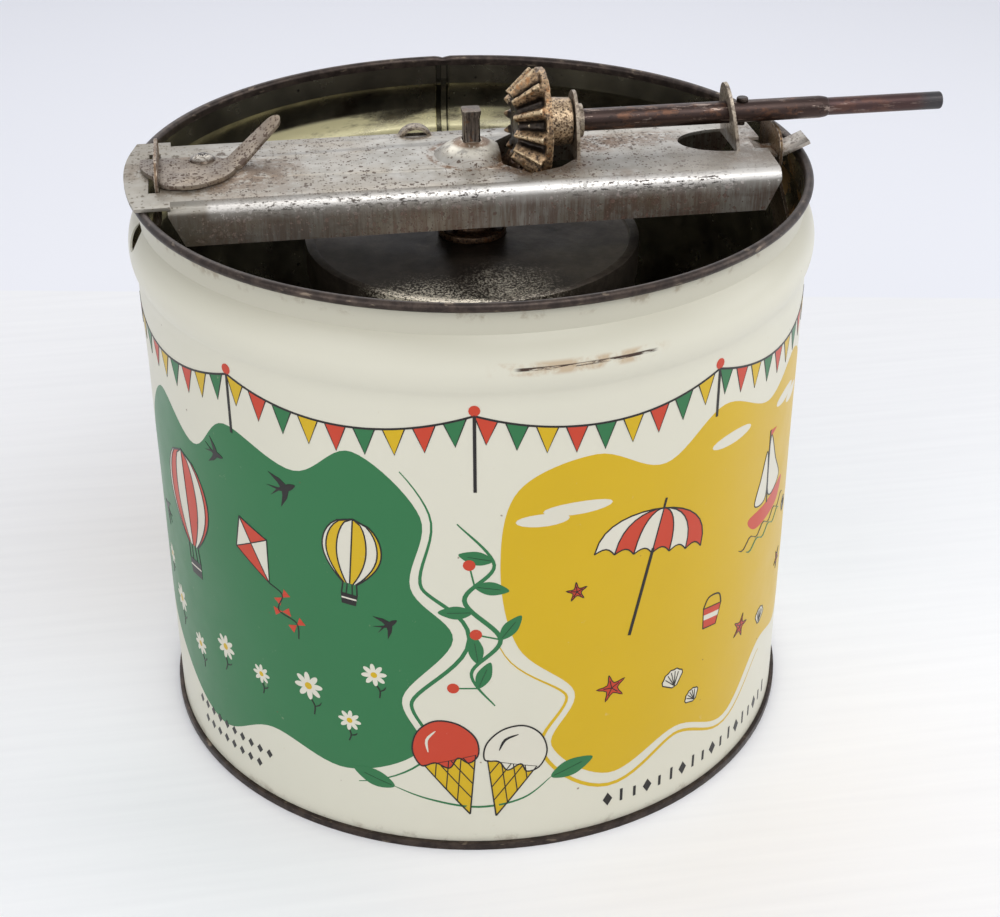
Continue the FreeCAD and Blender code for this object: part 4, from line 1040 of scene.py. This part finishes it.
def draw_print():
    # the two fields, counter-clockwise
    field("green", 0.26, 0.60, [
        (-172, 60), (-140, 34), (-110, 22), (-80, 36), (-48, 30), (-20, 44), (-26, 66), (-8, 92), (-22, 112),
        (-18, 140), (-40, 162), (-62, 150), (-92, 158), (-112, 142), (-140, 152), (-165, 120)])
    field("yellow", 0.05, 0.40, [
        (8, 120), (14, 88), (34, 66), (26, 44), (48, 26), (76, 36), (104, 26), (130, 44), (160, 40), (178, 70),
        (168, 100), (172, 138), (150, 160), (122, 152), (92, 163), (66, 150), (40, 160), (14, 150)])
    bunting((-168, 176), (-88, 178), "red", "yellow", "green")
    bunting((-88, 178), (0, 178), "yellow", "red", "green")
    bunting((0, 178), (88, 178), "red", "green", "yellow")
    bunting((88, 178), (168, 176), "green", "red", "yellow")
    for u, foot in ((-88, 156), (0, 150), (88, 160)):
        post(u, foot)
    for draw, *places in MOTIFS:
        for u, v, size, turn, *more in places:
            draw(Pen((u, v), size, turn), *more)
    vine((6, 64), (-2, 78), (8, 92), (-4, 108), (6, 122), (-6, 138))
    vine((176, 48), (186, 66), (178, 84), (190, 104), (182, 124), (192, 142))
    cone(Pen((-10, 40), 1.05, 16), "red")
    cone(Pen((12, 38), 1.0, -14), "cream")
    leaf(Pen((26, 30), 1.1, 20))
    leaf(Pen((-30, 26), 1.1, 160))
    paper.line(curve([(-30, 26), (-18, 22), (0, 19), (16, 22), (26, 30)], False), 0.9, True, "green", 2)
    for i in range(18):
        u = 48 + i * 5.6
        if i % 3:
            paper.line([(u, 11), (u, 15.5 + (i % 2))], 1.1, layer=3)
        else:
            diamond(u, 13.5, 1.9, 3)
    for row in (0, 1):
        for i in range(10 - 2 * row):
            diamond(-128 + i * 5.0 + 4 * row, 22 - 7 * row, 1.5, 2)


def refined(outline):
    """The outline with no side longer than the ink step."""
    points = []
    for i, here in enumerate(outline):
        after = outline[(i + 1) % len(outline)]
        run = math.hypot(after[0] - here[0], after[1] - here[1])
        if run < 1e-4:
            continue
        count = max(1, math.ceil(run / INK_STEP))
        points += [(here[0] + (after[0] - here[0]) * k / count, here[1] + (after[1] - here[1]) * k / count)
                   for k in range(count)]
    return points


def covers(outline, point):
    """True where the point lies inside the outline."""
    x, y = point
    inside = False
    for i, (ax, ay) in enumerate(outline):
        bx, by = outline[i - 1]
        if (ay > y) != (by > y) and x < (bx - ax) * (y - ay) / (by - ay) + ax:
            inside = not inside
    return inside


def sheet_of_ink(layer, outline, points, faces):
    """Adds one inked area: a thin closed sheet on the wall."""
    edge = refined(outline)
    area = sum(a[0] * b[1] - b[0] * a[1] for a, b in zip(edge, edge[1:] + edge[:1]))
    if area < 0:
        edge.reverse()
    flat = [Vector(p) for p in edge]
    us, vs = [p[0] for p in edge], [p[1] for p in edge]
    wide, high = max(us) - min(us), max(vs) - min(vs)
    if wide > 2 * INK_STEP and high > 2 * INK_STEP:
        for i in range(1, int(wide / INK_STEP) + 1):
            for j in range(1, int(high / INK_STEP) + 1):
                spot = (min(us) + i * INK_STEP, min(vs) + j * INK_STEP)
                if covers(edge, spot):
                    flat.append(Vector(spot))
    loop = list(range(len(edge)))
    spots, _, triangles, _, _, _ = delaunay_2d_cdt(flat, [], [loop], 1, 1e-5)
    for panel in (0, 1):
        start = len(points)
        for proud in (layer * SKIN, SUNK):
            points += [on_wall(p[0] + panel * PANEL, p[1], proud) for p in spots]
        under = start + len(spots)
        sides = {}
        for triangle in triangles:
            faces.append(tuple(start + i for i in triangle))
            faces.append(tuple(under + i for i in reversed(triangle)))
            for i in range(3):
                sides[(triangle[i], triangle[(i + 1) % 3])] = True
        for a, b in sides:
            if (b, a) not in sides:
                faces.append((start + a, under + a, under + b, start + b))


def print_pieces():
    draw_print()
    for ink, colour in INKS.items():
        points, faces = [], []
        for layer, outline in shapes[ink]:
            sheet_of_ink(layer, outline, points, faces)
        piece = mesh_piece("print_" + ink, points, faces, ink_surface("ink_" + ink, colour).material)
        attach(piece, "root")


# ---- CAD pieces with worn edges ----
def stand_for(name, piece):
    """Makes a piece replace a CAD node in its body."""
    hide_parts(name)
    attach(piece, bodies[name])
    return piece


def worn(name, material, edge=0.22, edge_material=None, heights=()):
    """A copy of a CAD node with its sharp edges rubbed round, which stands for it, cut across at heights."""
    sharp = 32
    work = bmesh.new()
    work.from_mesh(nodes[name].data)
    bmesh.ops.remove_doubles(work, verts=work.verts, dist=0.002 * MM)
    bmesh.ops.dissolve_limit(work, angle_limit=math.radians(0.6), verts=work.verts, edges=work.edges)
    for face in work.faces:
        face.material_index = 0
    for height in heights:
        parts = work.verts[:] + work.edges[:] + work.faces[:]
        bmesh.ops.bisect_plane(work, geom=parts, plane_co=(0, 0, height * MM), plane_no=(0, 0, 1))
    edges = [e for e in work.edges
             if len(e.link_faces) == 2 and e.is_convex and e.calc_face_angle(0.0) > math.radians(sharp)]
    bmesh.ops.bevel(work, geom=edges, offset=edge * MM, offset_type="OFFSET", segments=2, profile=0.6,
                    affect="EDGES", clamp_overlap=True, material=1 if edge_material else -1)
    mesh = bpy.data.meshes.new(name + "_worn")
    work.to_mesh(mesh)
    work.free()
    smooth(mesh, sharp)
    mesh.materials.append(material)
    if edge_material:
        mesh.materials.append(edge_material)
    return stand_for(name, place_piece(name + "_worn", mesh))


def cast(name, material, grain, depth):
    """A copy of a CAD node as a worn casting, which stands for it: soft edges and a rough, sunk skin."""
    rough = place_piece(name + "_rough", nodes[name].data.copy())
    remesh = rough.modifiers.new("grain", "REMESH")
    remesh.mode = "VOXEL"
    remesh.voxel_size = grain * MM
    ease = rough.modifiers.new("ease", "SMOOTH")
    ease.factor = 0.5
    ease.iterations = 2
    mesh = evaluated_mesh(rough)
    bpy.data.objects.remove(rough)
    mesh.name = name + "_cast"
    normals = [v.normal.copy() for v in mesh.vertices]
    for vertex, normal in zip(mesh.vertices, normals):
        place = vertex.co / MM
        rise = noise.fractal(place / 2.2, 0.8, 2.0, 3) + 0.5 * noise.fractal(place / 7, 0.8, 2.0, 2)
        vertex.co -= normal * depth * MM * min(1.0, max(0.0, 0.5 - 0.6 * rise))
    smooth(mesh)
    mesh.materials.clear()
    mesh.materials.append(material)
    return stand_for(name, place_piece(name + "_cast", mesh))


def mushroom(stem):
    """Draws the stem's bar a little thinner above the frame and spreads its top, as hammering does."""
    slim, spread = 0.9, 0.15
    for vertex in stem.data.vertices:
        above = vertex.co.z / MM - (STEM_TOP - BURR)
        if above > -0.01:
            size = slim * (1 + spread * min(1.0, 1.6 * above / BURR))
            vertex.co.x *= size
            vertex.co.y *= size


def taper_shoulder(shaft):
    """Draws the corner where the shaft steps down into a rounded slope."""
    slope = 2.6
    for vertex in shaft.data.vertices:
        x, radius = vertex.co.x / MM, math.hypot(vertex.co.y, vertex.co.z - SHAFT_HEIGHT * MM) / MM
        if SHOULDER - 1.5 < x < SHOULDER + 0.5 and radius > THIN_RADIUS + 0.1:
            vertex.co.x -= slope * MM * ((radius - THIN_RADIUS) / (SHAFT_RADIUS - THIN_RADIUS)) ** 2


def raise_dome(channel):
    """Presses the frame's dome up a little more round the stem."""
    rise = 1.5
    for vertex in channel.data.vertices:
        share = 1 - (Vector(vertex.co.xy).length / MM / DOME_RADIUS) ** 2
        if share > 0 and vertex.co.z > (FRAME_TOP - 2) * MM:
            vertex.co.z += rise * MM * share


def lever_nose():
    """The lever's round nose, which shows past the latch ear along the whole of its slot."""
    radius, back = 22.0, -14.9
    bottom, top = FRAME_TOP + 0.03, FRAME_TOP + 1.47
    outline = [polar(RIVET[:2], radius, degrees) for degrees in range(198, 227, 2)]
    outline += [(RIVET[0] + back, RIVET[1] - 16.0), (RIVET[0] + back, RIVET[1] - 6.8)]
    points = [(x, y, z) for z in (bottom, top) for x, y in outline]
    faces = loft(2, len(outline))
    nose = mesh_piece("lever_nose", points, faces, bpy.data.materials["galvanised_lever"])
    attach(nose, "latch")


def finish_nodes(material, *names):
    """CAD nodes that stay as they are, in a better material."""
    for name in names:
        data = nodes[name].data
        data.materials.clear()
        data.materials.append(material)
        for polygon in data.polygons:
            polygon.material_index = 0


def dress():
    tub_wall()
    side_seam()
    print_pieces()
    rim = bpy.data.materials["rim_steel"]
    lever = zinc_surface("galvanised_lever", (140, 130, 118), (104, 93, 83), 0.4, 1.0).material
    latch = zinc_surface("galvanised_latch_ear", (160, 146, 130), (112, 98, 84), 0.6, 1.0,
                         [((-110, 0, FRAME_TOP + 6), 16, 0.8)]).material
    hook = zinc_surface("galvanised_hook_ear", (96, 82, 68), (62, 51, 42), 0.7, 1.0,
                        [((110, 0, FRAME_TOP + 2), 18, 0.6)]).material
    sheet_edge = edge_surface("sheet_edge", (168, 156, 142), (72, 56, 45))
    lever_edge = edge_surface("lever_edge", (112, 98, 86), (52, 42, 36))
    bar_edge = edge_surface("bar_edge", (178, 166, 148), (96, 84, 74))
    gear_iron = iron_surface("gear_iron", 0.6, 0.35, darkening=0.6)
    tin = lid_surface()
    raise_dome(worn("frame_channel", frame_surface(), 0.2, sheet_edge))
    worn("latch_ear", latch, 0.25, sheet_edge)
    worn("hook_ear", hook, 0.25, sheet_edge)
    worn("latch_lever", lever, 0.3, lever_edge)
    lever_nose()
    worn("latch_rivet", rivet_surface())
    cast("pinion", iron_surface("rusty_iron", 0.5, 1.0, PINION_HUB), 0.42, 0.3)
    cast("drive_gear", gear_iron, 0.55, 0.25)
    taper_shoulder(worn("crank_shaft", shaft_surface(), 0.5, bar_edge))
    worn("retaining_pin", rim, 0.1)
    worn("tub_bottom", rim, 0.3)
    worn("lid", tin, 0.25)
    mushroom(worn("dasher_stem", stem_surface(), 0.3, bar_edge,
                  (STEM_TOP - BURR, STEM_TOP - 0.4 * BURR)))
    finish_nodes(tin, "can_shell", "can_bottom")
    finish_nodes(rim, "rim_wire", "lid_rivets", "scraper_pins")
    finish_nodes(gear_iron, "can_pivot", "can_socket")
    finish_nodes(iron_surface("tinned_iron", 0.15), "lower_arm", "upper_arm", "beater_left", "beater_right")
    finish_nodes(wood_surface(), "scraper_left", "scraper_right")


# ---- stage ----
def floor():
    """A white table top; past its far line the ground is pale lavender."""
    s = Surface("table_white")
    lean = s.times(s.axis("X"), TABLE_EDGE_SLOPE)
    line = s.step(s.plus(s.axis("Y"), lean), (TABLE_EDGE - 2) * MM, (TABLE_EDGE + 1) * MM)
    grain = s.mix(s.noise(5, 4, 0.6, 0, (22, 1, 1)), (238, 238, 240), (248, 248, 249))
    s.tone = s.mix(line, grain, (240, 241, 247))
    s.finish(0.6)
    points = [(x * TABLE_HALF, y * TABLE_HALF, 0) for x, y in ((-1, -1), (1, -1), (1, 1), (-1, 1))]
    ground = mesh_piece("table_top", points, [(0, 1, 2, 3)], s.material)
    ground.location.z = -0.02 * MM


# name, place, size and power of each lamp; all aim at the tub's middle
LAMPS = [
    ("lamp_front", (250, -850, 1250), (900, 700), 8.0),
    ("lamp_right", (1200, -150, 600), (700, 900), 5),
    ("lamp_left", (-1000, -900, 650), (900, 900), 5.5),
    ("lamp_back", (-100, 1000, 1150), (1400, 700), 5.5),
]
LAMP_AIM = (0, 0, 120)


def light():
    for name, place, size, power in LAMPS:
        data = bpy.data.lights.new(name, "AREA")
        data.shape = "RECTANGLE"
        data.size, data.size_y = size[0] * MM, size[1] * MM
        data.energy = power
        lamp = place_piece(name, data)
        lamp.location = Vector(place) * MM
        lamp.rotation_mode = "QUATERNION"
        lamp.rotation_quaternion = (Vector(LAMP_AIM) - Vector(place)).to_track_quat("-Z", "Y")


def surroundings():
    """A pale room, which looks brighter than it lights."""
    world = bpy.data.worlds.new("studio")
    sky = Tree(world, "Background")
    path = sky.node("ShaderNodeLightPath").outputs
    seen = sky.either(path["Is Camera Ray"], path["Is Glossy Ray"])
    sky.feed("Color", rgb(238, 240, 246))
    sky.feed("Strength", sky.between(seen, 0.5, 1.0))
    bpy.context.scene.world = world
    bpy.context.scene.view_settings.view_transform = "Standard"


def spin(degrees, axis):
    return Matrix.Rotation(math.radians(degrees), 4, axis)


def camera():
    """The photograph's view."""
    data = bpy.data.cameras.new("camera")
    data.lens = CAMERA_LENS
    data.sensor_width = CAMERA_SENSOR
    eye = place_piece("camera", data)
    eye.matrix_world = (spin(CAMERA_TURN, "Z") @ spin(90 - CAMERA_ELEVATION, "X")
                        @ Matrix.Translation((0, 0, CAMERA_DISTANCE * MM))
                        @ spin(-CAMERA_PAN, "Y") @ spin(CAMERA_TILT, "X") @ spin(CAMERA_ROLL, "Z"))
    bpy.context.scene.camera = eye


dress()
floor()
light()
surroundings()
camera()
